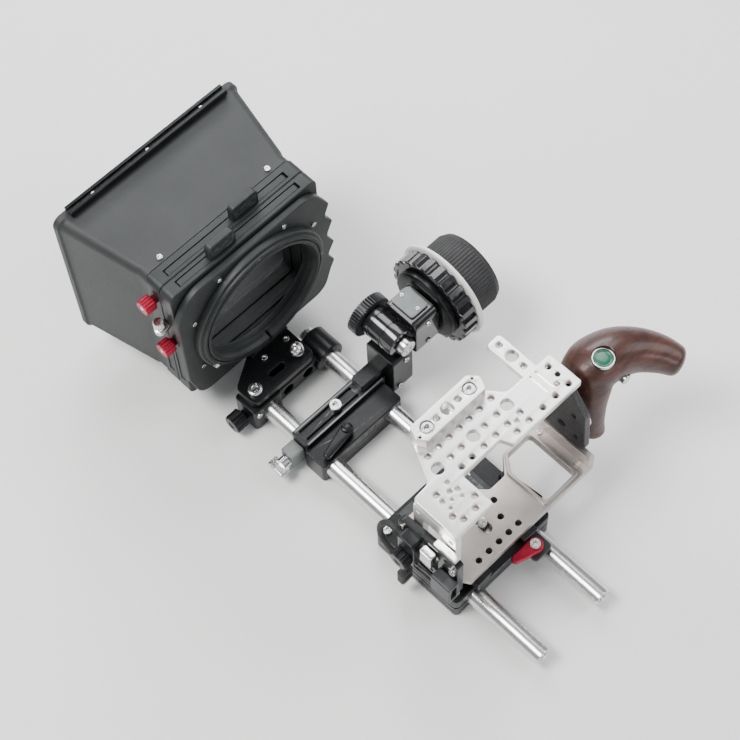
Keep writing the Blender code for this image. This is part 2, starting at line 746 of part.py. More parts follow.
def build_focus_bracket():
    bridge = bmesh.new()
    add_prism(bridge, "Z", 3, BRIDGE_TOP, rectangle((-38, FOCUS_Y - 8), (43, FOCUS_Y + 9), 2.0, 2))
    block = bmesh.new()
    add_prism(block, "Z", 0, 23, rectangle((-40, 100), (40, FOCUS_Y - 6), 3.0, 2))
    cutter = rod_bores(98, FOCUS_Y + 11)
    for low in (FOCUS_Y - 5.5, FOCUS_Y + 2.5):
        add_box(cutter, (-34, low, BRIDGE_TOP - 2.5), (18, low + 3, BRIDGE_TOP + 1))
    add_cylinder(cutter, (-8, 109, 12), (-8, 109, 24), 2.9, SMALL)
    add_cylinder(cutter, (-1, FOCUS_Y + 0.5, 14), (-1, FOCUS_Y + 0.5, 30), 2.4, SMALL)
    add_cylinder(cutter, (-39, JAW_Y, ROD_Z), (-36.5, JAW_Y, ROD_Z), 3.3, SMALL)
    part("focus_bracket", bridge, BLACK, join=block, cut=cutter)

    bolt = bmesh.new()
    add_cap_screw(bolt, (-1, FOCUS_Y + 0.5, BRIDGE_TOP + GAP), (0, 0, 1), 4.6, 4.6, 2.1, 12.0)
    part("focus_bridge_bolt", bolt, STEEL)

    lever = bmesh.new()
    add_prism(lever, "Z", 25.5, 30.5, tapered((-8, 109), 5.0, (-32, 104), 2.8, 5))
    stud = bmesh.new()
    add_cylinder(stud, (-8, 109, 13), (-8, 109, 26), 2.5, SMALL)
    add_cylinder(stud, (-8, 109, 23.3), (-8, 109, 32), 3.9, SMALL)
    part("focus_lock_lever", lever, BLACK, (-8, 109, 23.3), join=stud)

    jaw = bmesh.new()
    hole = [circle((JAW_Y, ROD_Z), 3.3)]
    outline = rectangle((JAW_Y - 6.4, 5), (JAW_Y + 6.4, 22), 1.5, 2)
    add_prism(jaw, "X", -50, -38.3, outline, hole)
    part("focus_clamp_jaw", jaw, DARK)

    screw = bmesh.new()
    centre = (JAW_Y, ROD_Z)
    wing = rectangle((JAW_Y - 8, ROD_Z - 2.2), (JAW_Y + 8, ROD_Z + 2.2), 1.8, 2)
    add_prism(screw, "X", -63, -54, wing)
    stem = bmesh.new()
    add_cylinder(stem, (-58, *centre), (-37.5, *centre), 2.9, SMALL)
    add_cylinder(stem, (-56, *centre), (-50.3, *centre), 5.0, SMALL)
    part("focus_thumb_screw", screw, STEEL, (-50.3, *centre), join=stem)


def build_focus_gearbox():
    low_y, high_y = FOCUS_Y - 14, FOCUS_Y + 14
    carriage = bmesh.new()
    add_box(carriage, (44, low_y, 8), (64, high_y, 50))
    tongue = bmesh.new()
    add_box(tongue, (21, FOCUS_Y - 5, BRIDGE_TOP + GAP), (50, FOCUS_Y + 7, BRIDGE_TOP + 8))
    part("focus_carriage", carriage, BLACK, join=tongue)

    gearbox = bmesh.new()
    rear, front = FOCUS_Y - 16, FOCUS_Y + 16
    outline = rounded([(rear, 42, 4), (front, 42, 4), (front, 80, 6), (rear, 80, 6)])
    add_prism(gearbox, "X", 66, 89, outline)
    housing = bmesh.new()
    add_cylinder(housing, (SPINDLE_X, 117, WHEEL_Z), (SPINDLE_X, 146, WHEEL_Z), 12.3)
    cutter = bmesh.new()
    add_cylinder(cutter, (72, FOCUS_Y, WHEEL_Z), (92, FOCUS_Y, WHEEL_Z), 4.6, SMALL)
    add_cylinder(cutter, (SPINDLE_X, 110, WHEEL_Z), (SPINDLE_X, 150, WHEEL_Z), 3.6, SMALL)
    add_box(cutter, (49.4, FOCUS_Y - 9.4, WHEEL_Z - 9), (86, FOCUS_Y + 9.4, WHEEL_Z + 9))
    part("focus_gearbox", gearbox, BLACK, join=housing, cut=cutter)

    cover = bmesh.new()
    add_prism(cover, "Z", 80.3, 82.2, rectangle((69, FOCUS_Y - 9), (86, FOCUS_Y + 13), 1.5, 2))
    part("focus_gearbox_cover", cover, GREY)

    pivot = (SPINDLE_X, FOCUS_Y, WHEEL_Z)
    gear = bmesh.new()
    centre = (SPINDLE_X, WHEEL_Z)
    add_prism(gear, "Y", 147, 155, toothed(centre, 15.6, 17.6, 24), [circle(centre, 3.6)])
    part("drive_gear", gear, DARK, pivot)
    spindle = bmesh.new()
    profile = [
        (0, 158),
        (4.6, 158),
        (5.6, 157),
        (5.6, 155.3),
        (3.1, 155.3),
        (3.1, 121.8),
        (4.4, 121.8),
        (7.2, 119.4),
        (7.2, 118.0),
        (3.1, 118.0),
        (3.1, 116.6),
        (6.2, 116.6),
        (7.2, 115.6),
        (7.2, 110.6),
        (6.2, 109.6),
        (0, 109.6),
    ]
    add_turned(spindle, "Y", (SPINDLE_X, 0, WHEEL_Z), profile, SMALL)
    part("drive_spindle", spindle, STEEL, pivot)


def build_handwheel():
    pivot = (WHEEL_X, FOCUS_Y, WHEEL_Z)
    hub = bmesh.new()
    profile = [
        (0, 137.5),
        (4.0, 137.5),
        (4.0, 95.0),
        (29, 95.0),
        (29, 91.3),
        (27, 90.3),
        (4.0, 90.3),
        (4.0, 72.4),
        (8.6, 72.4),
        (8.6, 69.4),
        (5.6, 65.2),
        (4.0, 65.2),
        (4.0, 61.5),
        (0, 61.5),
    ]
    add_turned(hub, "X", (0, FOCUS_Y, WHEEL_Z), profile, ROUND)
    part("handwheel_hub", hub, BLACK, pivot)

    ring = bmesh.new()
    outline = toothed((FOCUS_Y, WHEEL_Z), 35.0, 37.2, 20)
    add_prism(ring, "X", 95.3, 108.0, outline, [circle((FOCUS_Y, WHEEL_Z), 4.5)])
    part("handwheel_ring", ring, GLOSS, pivot)

    disc = bmesh.new()
    profile = [(4.4, 108.3), (38.0, 108.3), (40.0, 109.3), (40.0, 111.0), (32.0, 112.0), (4.4, 112.0)]
    add_turned(disc, "X", (0, FOCUS_Y, WHEEL_Z), profile, FINE, closed=True)
    part("marking_disc", disc, WHITE, pivot)

    knob = bmesh.new()
    profile = [
        (4.4, 112.3),
        (30.0, 112.3),
        (31.0, 114.0),
        (31.0, 134.0),
        (29.0, 138.5),
        (24.0, 140.0),
        (12.0, 140.0),
        (9.5, 138.6),
        (4.4, 138.6),
    ]
    add_turned(knob, "X", (0, FOCUS_Y, WHEEL_Z), profile, FINE, closed=True)
    part("handwheel_knob", knob, RUBBER, pivot)


# ---------------------------------------------------------------- matte box


def build_matte_bracket():
    low, high = 166.0, 188.0
    bar = bmesh.new()
    add_box(bar, (-20, 169, 5), (24, 185, 21))
    ends = bmesh.new()
    add_prism(ends, "Z", 0, 25, rectangle((-46, low), (-18, high), 2.0, 2))
    add_cylinder(ends, (ROD_X, low, ROD_Z), (ROD_X, high, ROD_Z), 13.0)
    cutter = rod_bores(low - 2, high + 2)
    add_cylinder(cutter, (*SWING, 20), (*SWING, 27), 2.9, SMALL)
    for x in (-10.0, 10.0):
        add_cylinder(cutter, (x, 180, 13), (x, 186, 13), 5.0, SMALL)
        add_cylinder(cutter, (x, 168, 13), (x, 174, 13), 5.0, SMALL)
    part("matte_box_bracket", bar, BLACK, join=ends, cut=cutter)

    knob = bmesh.new()
    centre = (177.0, ROD_Z)
    add_prism(knob, "X", -60, -49, toothed(centre, 7.0, 7.8, 10))
    stem = bmesh.new()
    add_cylinder(stem, (-50, *centre), (-46.3, *centre), 4.0, SMALL)
    part("matte_box_clamp_knob", knob, BLACK, (-46.3, *centre), join=stem)

    pin = bmesh.new()
    profile = [(0, 36.5), (5.0, 36.5), (5.6, 35.7), (5.6, 33.3), (2.5, 33.3), (2.5, 21.0), (0, 21.0)]
    add_turned(pin, "Z", (*SWING, 0), profile, SMALL)
    part("swing_arm_pin", pin, STEEL)

    arm = bmesh.new()
    outline = rounded([(-43, 168, 6), (18, 168, 5), (18, 203, 0), (-18, 203, 0), (-43, 188, 6)])
    add_prism(arm, "Z", ARM_Z, 33.0, outline, [circle(SWING, 2.9), circle((8, 177), 3.4)])
    upright = bmesh.new()
    add_box(upright, (-18, 197.5, 32), (18, 203, 36.5))
    part("swing_arm", arm, BLACK, (*SWING, ARM_Z), join=upright)

    latch = bmesh.new()
    profile = [(0, 46), (3.5, 45.2), (5.4, 42.6), (5.8, 40), (4.9, 37.3), (3.0, 35.6)]
    profile += [(3.0, 33.6), (2.3, 33.0), (2.3, 21.6), (0, 21.6)]
    add_turned(latch, "Z", (8, 177, 0), profile, SMALL)
    part("swing_latch_pin", latch, STEEL, (8, 177, 33))


def build_matte_rear():
    centre = (0.0, OPTICAL_Z)
    aperture = circle(centre, 50.0, FINE)
    lobe = rounded(
        [
            (-70, 60, 20),
            (-62, 30, 14),
            (62, 30, 14),
            (70, 52, 6),
            (74, 60, 3),
            (68, 72, 8),
            (75, 84, 3),
            (68.5, 98, 9),
            (75, 112, 3),
            (68, 124, 8),
            (73, 136, 4),
            (60, 162, 20),
            (-58, 162, 24),
            (-70, 138, 20),
        ]
    )
    plate = bmesh.new()
    add_prism(plate, "Y", BACKPLATE_Y, STAGE_Y - GAP, lobe, [aperture])
    part("matte_box_backplate", plate, MATTE)

    ring = bmesh.new()
    profile = [(49.0, 203.0), (60.0, 203.0), (60.0, 199.0), (58.0, 196.0), (54.0, 195.0)]
    profile += [(50.5, 196.0), (49.0, 198.5)]
    add_turned(ring, "Y", (0, 0, OPTICAL_Z), profile, FINE, closed=True)
    part("matte_box_lens_ring", ring, MATTE)


def build_matte_stages():
    half, low, high = 68.0, 30.0, 166.0
    slot_half = 56.0
    stage = bmesh.new()
    outline = rectangle((-half, low), (half, high), 6.0)
    passage = rectangle((-50, OPTICAL_Z - 50), (50, OPTICAL_Z + 50), 3.0, 2)
    add_prism(stage, "Y", STAGE_Y, HOOD_Y - GAP, outline, [passage])
    slots = bmesh.new()
    for y in TRAY_YS.values():
        add_box(slots, (-slot_half, y - 3, 41), (slot_half, y + 3, high + 2))
    part("filter_stage_housing", stage, MATTE, cut=slots)

    for name, y in TRAY_YS.items():
        tray = bmesh.new()
        frame = rectangle((-slot_half + 0.5, 41.5), (slot_half - 0.5, 165.5), 2.0, 2)
        opening = rectangle((-49, OPTICAL_Z - 49), (49, OPTICAL_Z + 49), 2.0, 2)
        add_prism(tray, "Y", y - 2.6, y + 2.6, frame, [opening])
        tab = bmesh.new()
        shift = -16.0 if name == "rear" else 16.0
        add_prism(tab, "Y", y - 2.6, y + 2.6, rectangle((shift - 12, 160), (shift + 12, 180), 3.0))
        part(f"filter_tray_{name}", tray, MATTE, (0, y, 41.5), join=tab)

    for name, y, z in (("rear", TRAY_YS["rear"], 104.0), ("front", TRAY_YS["front"], 148.0)):
        knob = bmesh.new()
        add_prism(knob, "X", -80, -71, toothed((y, z), 5.4, 6.2, 9))
        stem = bmesh.new()
        add_cylinder(stem, (-72, y, z), (-half - GAP, y, z), 3.4, SMALL)
        part(f"filter_lock_knob_{name}", knob, RED, (-half - GAP, y, z), join=stem)

    screw = bmesh.new()
    add_cylinder(screw, (-half - 7.5, 218, 122), (-half - 7.5, 218, 136), 4.0, SMALL)
    lug = bmesh.new()
    add_box(lug, (-half - 8.5, 214, 124), (-half - GAP, 222, 127))
    part("stage_side_screw", screw, STEEL, join=lug)


def hood_ring(half_x, low, high, y, radius=7.0):
    outline = rectangle((-half_x, low), (half_x, high), radius, 3)
    return [Vector((x, y, z)) for x, z in outline]


def build_hood():
    wall = 2.6
    rings = [
        hood_ring(67.5, 30.5, 165.5, HOOD_Y),
        hood_ring(67.5, 30.5, 165.5, HOOD_Y + 8),
        hood_ring(84.0, 26.0, 170.0, HOOD_FRONT),
        hood_ring(84.0 - wall, 26.0 + wall, 170.0 - wall, HOOD_FRONT),
        hood_ring(67.5 - wall, 30.5 + wall, 165.5 - wall, HOOD_Y + 9),
        hood_ring(56.0, 42.0, 154.0, HOOD_Y + 3.5),
        hood_ring(56.0, 42.0, 154.0, HOOD_Y),
    ]
    hood = bmesh.new()
    loops = [[hood.verts.new(point) for point in ring] for ring in rings]
    count = len(loops[0])
    for a, b in zip(loops, loops[1:] + loops[:1]):
        for i in range(count):
            j = (i + 1) % count
            hood.faces.new((a[i], a[j], b[j], b[i]))
    bmesh.ops.recalc_face_normals(hood, faces=hood.faces)
    part("matte_box_hood", hood, HOOD)

    rail = bmesh.new()
    add_box(rail, (-72, 303, 170.3), (72, 311, 175.5))
    groove = bmesh.new()
    add_box(groove, (-73, 305.5, 173), (73, 308.5, 177))
    part("flag_rail", rail, BLACK, cut=groove)


clear_scene()
PARTS = new_collection("cinema_camera_rig")
CUTTERS = new_collection("cutters")

SILVER = material("satin_rod", (0.78, 0.78, 0.76), 0.32, 1.0)
CAGE = material("satin_cage", (0.80, 0.79, 0.77), 0.38, 1.0)
CAGE_SHADE = material("satin_floor", (0.66, 0.63, 0.61), 0.42, 1.0)
STEEL = material("steel", (0.70, 0.70, 0.70), 0.28, 1.0)
BLACK = material("black_anodised", (0.018, 0.019, 0.020), 0.40, 0.6)
DARK = material("dark_grey", (0.05, 0.052, 0.055), 0.45, 0.5)
GREY = material("grey_cover", (0.16, 0.17, 0.17), 0.5, 0.3)
GLOSS = material("gloss_black", (0.012, 0.012, 0.014), 0.16, 0.0)
WRINKLE = material("wrinkle_paint", (0.02, 0.02, 0.022), 0.6, 0.0)
WHITE = material("white_disc", (0.82, 0.82, 0.80), 0.45, 0.0)
RUBBER = material("black_rubber", (0.014, 0.014, 0.015), 0.65, 0.0)
RED = material("red_anodised", (0.42, 0.015, 0.04), 0.35, 0.7)
WOOD = material("dark_wood", (0.095, 0.040, 0.030), 0.42, 0.0)
GREEN = material("green_badge", (0.05, 0.42, 0.24), 0.3, 0.0)
MATTE = material("matte_box_black", (0.035, 0.040, 0.040), 0.55, 0.4)
HOOD = material("hood_black", (0.030, 0.034, 0.034), 0.6, 0.0)

build_rods()
build_baseplate()
build_rod_clamp_levers()
build_quick_release()
build_cage_floor()
build_cage_roof()
build_cage_sides()
build_grip()
build_cable_clamp()
build_cable()
build_focus_bracket()
build_focus_gearbox()
build_handwheel()
build_matte_bracket()
build_matte_rear()
build_matte_stages()
build_hood()
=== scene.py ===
import json
import math

import bmesh
import bpy
from mathutils import Matrix, Vector


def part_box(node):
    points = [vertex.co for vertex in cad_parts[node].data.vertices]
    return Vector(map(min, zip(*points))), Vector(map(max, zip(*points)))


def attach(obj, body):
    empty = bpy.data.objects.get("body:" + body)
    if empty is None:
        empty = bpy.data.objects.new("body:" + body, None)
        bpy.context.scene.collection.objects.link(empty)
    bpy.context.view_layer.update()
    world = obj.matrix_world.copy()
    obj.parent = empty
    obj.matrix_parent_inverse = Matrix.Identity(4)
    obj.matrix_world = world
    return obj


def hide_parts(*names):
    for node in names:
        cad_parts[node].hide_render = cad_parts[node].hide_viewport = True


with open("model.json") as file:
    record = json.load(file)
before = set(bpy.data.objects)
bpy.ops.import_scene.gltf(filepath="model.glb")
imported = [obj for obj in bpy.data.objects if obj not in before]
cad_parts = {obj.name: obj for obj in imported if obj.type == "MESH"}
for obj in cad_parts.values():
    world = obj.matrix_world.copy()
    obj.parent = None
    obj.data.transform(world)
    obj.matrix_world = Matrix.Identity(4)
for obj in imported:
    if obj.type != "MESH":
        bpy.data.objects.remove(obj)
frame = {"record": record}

# Lengths are millimetres, and MM turns them into metres. +X is the grip's side, +Y the lens's.
MM = 0.001
WELD = 0.001
CREASE = math.radians(50)
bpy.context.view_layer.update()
BODIES = frame["record"]["behaviour"]["bodies"]
BODY_OF = {node: body for body, nodes in BODIES.items() for node in nodes}

RIGHT, FORWARD, UP = Vector((1, 0, 0)), Vector((0, 1, 0)), Vector((0, 0, 1))
AXES = {"X": RIGHT, "Y": FORWARD, "Z": UP}
# Columns: where an outline's two directions and its thickness point.
OUTLINE_FRAMES = {
    "X": Matrix(((0, 0, 1, 0), (1, 0, 0, 0), (0, 1, 0, 0), (0, 0, 0, 1))),
    "Y": Matrix(((1, 0, 0, 0), (0, 0, -1, 0), (0, 1, 0, 0), (0, 0, 0, 1))),
    "Z": Matrix.Identity(4),
}


def extent(node):
    """A CAD node's lowest and highest corner, in millimetres."""
    low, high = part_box(node)
    return low / MM, high / MM


def middle(node):
    low, high = extent(node)
    return (low + high) / 2


# ---------------- camera and light

EYE = Vector((-0.4063, -0.3656, 1.2775))
AIM = Vector((0.026, 0.118, 0.062))
LOOK_RIGHT = math.radians(49.18)
LOOK_DOWN = math.radians(54.2)
ROLL = math.radians(2.99)
LENS = 94.0
WHITE = (1.0, 1.0, 1.0)


def link(name, data):
    made = bpy.data.objects.new(name, data)
    bpy.context.scene.collection.objects.link(made)
    return made


def place_camera():
    flat = Vector((math.sin(LOOK_RIGHT), math.cos(LOOK_RIGHT), 0)) * math.cos(LOOK_DOWN)
    ahead = flat - UP * math.sin(LOOK_DOWN)
    level = ahead.cross(UP).normalized()
    right = level * math.cos(ROLL) + level.cross(ahead) * math.sin(ROLL)
    up = right.cross(ahead)
    untilted = Matrix((right, up, -ahead)).transposed().to_quaternion()
    data = bpy.data.cameras.new("camera")
    data.lens = LENS
    data.clip_start = 0.05
    camera = link("camera", data)
    camera.location = EYE
    camera.rotation_mode = "QUATERNION"
    camera.rotation_quaternion = ahead.rotation_difference(AIM - EYE) @ untilted
    bpy.context.scene.camera = camera


def add_light(name, kind, place, power, colour=WHITE, **settings):
    """A light at place, aimed at the rig."""
    data = bpy.data.lights.new(name, kind)
    data.energy = power
    data.color = colour
    for key, value in settings.items():
        setattr(data, key, value)
    lamp = link(name, data)
    lamp.location = place
    lamp.rotation_euler = (AIM - Vector(place)).to_track_quat("-Z", "Y").to_euler()


def build_studio():
    world = bpy.data.worlds.new("studio")
    world.use_nodes = True
    background = world.node_tree.nodes["Background"]
    background.inputs["Color"].default_value = (0.93, 0.96, 1.0, 1.0)
    background.inputs["Strength"].default_value = 0.40
    bpy.context.scene.world = world
    key_place = (-0.7, 0.55, 1.6)
    add_light("soft_sun", "SUN", key_place, 1.25, angle=math.radians(24))
    lamps = (
        ("key_lamp", key_place, (0.8, 0.6), 26.0, (1.0, 0.98, 0.95)),
        ("fill_lamp", (1.3, -0.8, 1.3), (1.2, 1.0), 17.0, WHITE),
        ("rim_lamp", (0.8, 1.6, 1.0), (1.2, 0.5), 26.0, WHITE),
        ("back_lamp", (-0.4, -1.7, 0.9), (1.4, 0.5), 12.0, WHITE),
        ("top_lamp", (0.69, 0.70, 1.27), (0.7, 0.7), 10.0, WHITE),
    )
    for name, place, (width, height), power, colour in lamps:
        add_light(name, "AREA", place, power, colour, shape="RECTANGLE", size=width, size_y=height)


# ---------------- materials


def add_node(look, kind, inputs, **settings):
    """A shader node with its settings, and its inputs set or linked."""
    node = look.node_tree.nodes.new(kind)
    for key, value in settings.items():
        setattr(node, key, value)
    for key, value in inputs.items():
        if isinstance(value, bpy.types.NodeSocket):
            look.node_tree.links.new(value, node.inputs[key])
        else:
            node.inputs[key].default_value = value
    return node


def noise(look, scale, detail=4.0, roughness=0.55, warp=0.0):
    """Noise in the object's own space, with scale in grains per metre, for each axis or for all."""
    place = add_node(look, "ShaderNodeTexCoord", {}).outputs["Object"]
    scales = scale if isinstance(scale, tuple) else (scale, scale, scale)
    stretched = add_node(look, "ShaderNodeMapping", {"Vector": place, "Scale": scales}).outputs[0]
    inputs = {"Vector": stretched, "Scale": 1.0, "Detail": detail, "Roughness": roughness}
    return add_node(look, "ShaderNodeTexNoise", {**inputs, "Distortion": warp}).outputs["Fac"]


def ramp(look, factor, stops):
    """A colour ramp through (position, colour) stops."""
    node = add_node(look, "ShaderNodeValToRGB", {"Fac": factor})
    while len(node.color_ramp.elements) < len(stops):
        node.color_ramp.elements.new(0.5)
    for element, (position, colour) in zip(node.color_ramp.elements, stops):
        element.position = position
        element.color = (*colour, 1.0)
    return node.outputs["Color"]


def spread(look, factor, low, high, start=0.3, end=0.7):
    """The factor's range from start to end mapped to low and high."""
    inputs = {"Value": factor, "From Min": start, "From Max": end, "To Min": low, "To Max": high}
    return add_node(look, "ShaderNodeMapRange", inputs).outputs["Result"]


def mixed(look, factor, first, second):
    node = add_node(look, "ShaderNodeMix", {"Factor": factor}, data_type="RGBA")
    look.node_tree.links.new(first, node.inputs[6])
    node.inputs[7].default_value = (*second, 1.0)
    return node.outputs[2]


def shader_inputs(look):
    return look.node_tree.nodes["Principled BSDF"].inputs


def new_look(name, metallic=0.0, coat=0.0, coat_roughness=0.12):
    look = bpy.data.materials.new(name)
    look.use_nodes = True
    shader_inputs(look)["Metallic"].default_value = metallic
    shader_inputs(look)["Coat Weight"].default_value = coat
    shader_inputs(look)["Coat Roughness"].default_value = coat_roughness
    return look


def finish_look(look, colour, roughness, height, strength, relief):
    """Joins a look's colour and roughness to its shader, and its height as bumps relief metres deep."""
    inputs = {"Height": height, "Strength": strength, "Distance": relief}
    bump = add_node(look, "ShaderNodeBump", inputs).outputs["Normal"]
    for socket, value in (("Base Color", colour), ("Roughness", roughness), ("Normal", bump)):
        look.node_tree.links.new(value, shader_inputs(look)[socket])
    return look


def surface(name, dark, light, patch, grain, rough, relief, metallic=0.0, wear=None, coat=0.0):
    """A look whose colour drifts from dark to light in patches, with a fine grain in gloss and relief.

    patch and grain are noise scales, rough is the range of roughness, and wear is the colour that
    edges rub down to.
    """
    look = new_look(name, metallic, coat)
    colour = ramp(look, noise(look, patch, 3.0), [(0.3, dark), (0.7, light)])
    fine = noise(look, grain, 5.0)
    if wear:
        edges = add_node(look, "ShaderNodeNewGeometry", {}).outputs["Pointiness"]
        rubbed = spread(look, edges, 0.0, 0.65, 0.56, 0.66)
        spots = spread(look, noise(look, 260, 3.0), 0.0, 1.0, 0.38, 0.62)
        worn = add_node(look, "ShaderNodeMath", {0: rubbed, 1: spots}, operation="MULTIPLY")
        colour = mixed(look, worn.outputs[0], colour, wear)
    return finish_look(look, colour, spread(look, fine, *rough), fine, 1.0, relief)


def wood_look():
    """Dark oiled hardwood: long streaks along the handle, fine pores and a soft sheen."""
    look = new_look("dark_wood", coat=0.3, coat_roughness=0.20)
    shader_inputs(look)["Specular IOR Level"].default_value = 0.3
    streaks = noise(look, (26, 95, 150), 5.0, 0.6, 1.2)
    fibres = noise(look, (120, 900, 1300), 4.0, 0.65, 0.3)
    pores = noise(look, (420, 2600, 3200), 2.0, 0.5)
    stops = [(0.28, (0.020, 0.007, 0.0055)), (0.45, (0.044, 0.0145, 0.010))]
    stops += [(0.60, (0.072, 0.025, 0.017)), (0.80, (0.108, 0.043, 0.029))]
    fibre_tone = spread(look, fibres, 0.0, 0.55, 0.40, 0.66)
    colour = mixed(look, fibre_tone, ramp(look, streaks, stops), (0.030, 0.012, 0.009))
    pore_tone = spread(look, pores, 0.0, 0.5, 0.60, 0.70)
    colour = mixed(look, pore_tone, colour, (0.012, 0.006, 0.005))
    height = add_node(look, "ShaderNodeMath", {0: fibres, 1: pores}, operation="SUBTRACT").outputs[0]
    return finish_look(look, colour, spread(look, fibres, 0.34, 0.52), height, 0.8, 0.00012)


def wrinkle_look():
    """Black wrinkle paint: a crinkled skin with pale specks on its crests, painted glints of light."""
    dark, light = (0.012, 0.012, 0.013), (0.024, 0.024, 0.026)
    look = surface("wrinkle_paint", dark, light, 50, 1500, (0.42, 0.62), 0.0004)
    base = shader_inputs(look)["Base Color"]
    # Pale specks scattered by noise: painted glints on the wrinkle crests.
    glint_specks = spread(look, noise(look, 950, 3.0, 0.6), 0.0, 0.55, 0.60, 0.68)
    glinted = mixed(look, glint_specks, base.links[0].from_socket, (0.20, 0.20, 0.205))
    look.node_tree.links.new(glinted, base)
    return look


# What surface takes after a look's name, in its order. Relief is in metres.
SURFACES = {
    "satin_rod": (
        (0.68, 0.68, 0.67), (0.76, 0.76, 0.75), (20, 9, 20), (300, 5200, 300), (0.22, 0.29), 1.5e-6, 1.0
    ),
    "satin_cage": ((0.84, 0.825, 0.805), (0.92, 0.91, 0.89), 35, 2600, (0.28, 0.36), 6e-6, 1.0),
    # A darker, warmer copy of the cage's satin aluminium. Its darkness is painted shade; it is used on the
    # cage's floor plate and inside the roof's threaded holes.
    "satin_floor": (
        (0.43, 0.395, 0.375), (0.56, 0.52, 0.49), 30, (160, 3800, 160), (0.32, 0.46), 8e-6, 1.0
    ),
    "steel": ((0.56, 0.56, 0.56), (0.72, 0.72, 0.71), 220, 2400, (0.20, 0.27), 2e-6, 1.0),
    "black_anodised": (
        (0.007, 0.008, 0.009), (0.016, 0.0175, 0.019), 60, 2600, (0.24, 0.36), 1.4e-5, 0.55,
        (0.14, 0.145, 0.15),
    ),
    "dark_grey": (
        (0.028, 0.030, 0.033), (0.050, 0.053, 0.056), 60, 2600, (0.34, 0.50), 1.4e-5, 0.5,
        (0.20, 0.20, 0.205),
    ),
    "grey_cover": (
        (0.13, 0.145, 0.145), (0.19, 0.205, 0.20), 60, (160, 4200, 160), (0.40, 0.55), 1e-5, 0.4
    ),
    "gloss_black": (
        (0.006, 0.006, 0.008), (0.014, 0.014, 0.017), 90, 900, (0.08, 0.20), 1e-5, 0.0,
        (0.10, 0.10, 0.11), 0.6,
    ),
    "white_disc": ((0.72, 0.72, 0.69), (0.84, 0.84, 0.82), 70, 1800, (0.38, 0.52), 1.5e-5),
    "black_rubber": ((0.010, 0.010, 0.011), (0.020, 0.020, 0.022), 80, 3200, (0.55, 0.75), 4e-5),
    "red_anodised": (
        (0.30, 0.008, 0.028), (0.46, 0.020, 0.050), 120, 2600, (0.24, 0.38), 1e-5, 0.75,
        (0.62, 0.30, 0.32),
    ),
    "green_badge": (
        (0.004, 0.080, 0.042), (0.010, 0.125, 0.070), 160, 3000, (0.20, 0.30), 6e-6, 0.0, None, 0.25
    ),
    "matte_box_black": (
        (0.017, 0.020, 0.021), (0.028, 0.032, 0.032), 25, 2200, (0.42, 0.58), 2.5e-5, 0.35,
        (0.15, 0.155, 0.155),
    ),
    "hood_black": (
        (0.015, 0.0175, 0.0185), (0.025, 0.028, 0.0285), 18, 1500, (0.50, 0.68), 7e-5, 0.0,
        (0.09, 0.095, 0.095),
    ),
    "pale_gold": ((0.62, 0.53, 0.36), (0.76, 0.68, 0.50), 300, 2400, (0.20, 0.32), 5e-6, 1.0),
    "pale_floor": ((0.80, 0.80, 0.79), (0.84, 0.84, 0.835), 3, 300, (0.55, 0.70), 5e-5),
}


# ---------------- outlines


def arc(centre, radius, start, end, steps):
    """Points on a circle between two angles in radians, both ends included."""
    angles = [start + (end - start) * i / steps for i in range(steps + 1)]
    return [(centre[0] + radius * math.cos(a), centre[1] + radius * math.sin(a)) for a in angles]


def circle(centre, radius, sides=40):
    turns = [2 * math.pi * i / sides for i in range(sides)]
    return [(centre[0] + radius * math.cos(a), centre[1] + radius * math.sin(a)) for a in turns]


def rounded(corners, steps=8):
    """An outline from (x, y, radius) corners, each rounded by an arc of that radius."""
    points = []
    for i, (x, y, radius) in enumerate(corners):
        corner = Vector((x, y))
        before = (Vector(corners[i - 1][:2]) - corner).normalized()
        after = (Vector(corners[(i + 1) % len(corners)][:2]) - corner).normalized()
        half = before.angle(after) / 2
        centre = corner + (before + after).normalized() * (radius / math.sin(half))
        first = corner + before * (radius / math.tan(half)) - centre
        last = corner + after * (radius / math.tan(half)) - centre
        start = math.atan2(first.y, first.x)
        turn = math.remainder(math.atan2(last.y, last.x) - start, 2 * math.pi)
        points += arc(centre, radius, start, start + turn, steps)
    return points


def rectangle(low, high, radius, steps=8):
    (x0, y0), (x1, y1) = low, high
    return rounded([(x0, y0, radius), (x1, y0, radius), (x1, y1, radius), (x0, y1, radius)], steps)


def tapered(big, big_radius, small, small_radius, steps=18):
    """The outline round two circles, as a lever seen from above."""
    along = Vector(small) - Vector(big)
    heading = math.atan2(along.y, along.x)
    lean = math.acos((big_radius - small_radius) / along.length)
    back = arc(big, big_radius, heading + lean, heading + 2 * math.pi - lean, steps)
    return back + arc(small, small_radius, heading - lean, heading + lean, steps)


def toothed(centre, root, tip, teeth, crest=0.28):
    """A gear's outline, with sloping flanks and four points to a tooth."""
    points = []
    for i in range(teeth):
        for share, radius in ((0.0, root), (0.5 - crest, tip), (0.5, tip), (0.72, root)):
            angle = 2 * math.pi * (i + share) / teeth
            points.append((centre[0] + radius * math.cos(angle), centre[1] + radius * math.sin(angle)))
    return points


def through(route, steps=8):
    """A Catmull-Rom curve through vectors of any size, with steps points to each stretch."""
    ends = [route[0] * 2 - route[1], *route, route[-1] * 2 - route[-2]]
    fine = []
    for a, b, c, d in zip(ends, ends[1:], ends[2:], ends[3:]):
        for i in range(steps):
            t = i / steps
            bend = (2 * a - 5 * b + 4 * c - d) * t**2
            swing = (3 * b - a - 3 * c + d) * t**3
            fine.append(0.5 * (2 * b + (c - a) * t + bend + swing))
    return [*fine, route[-1]]


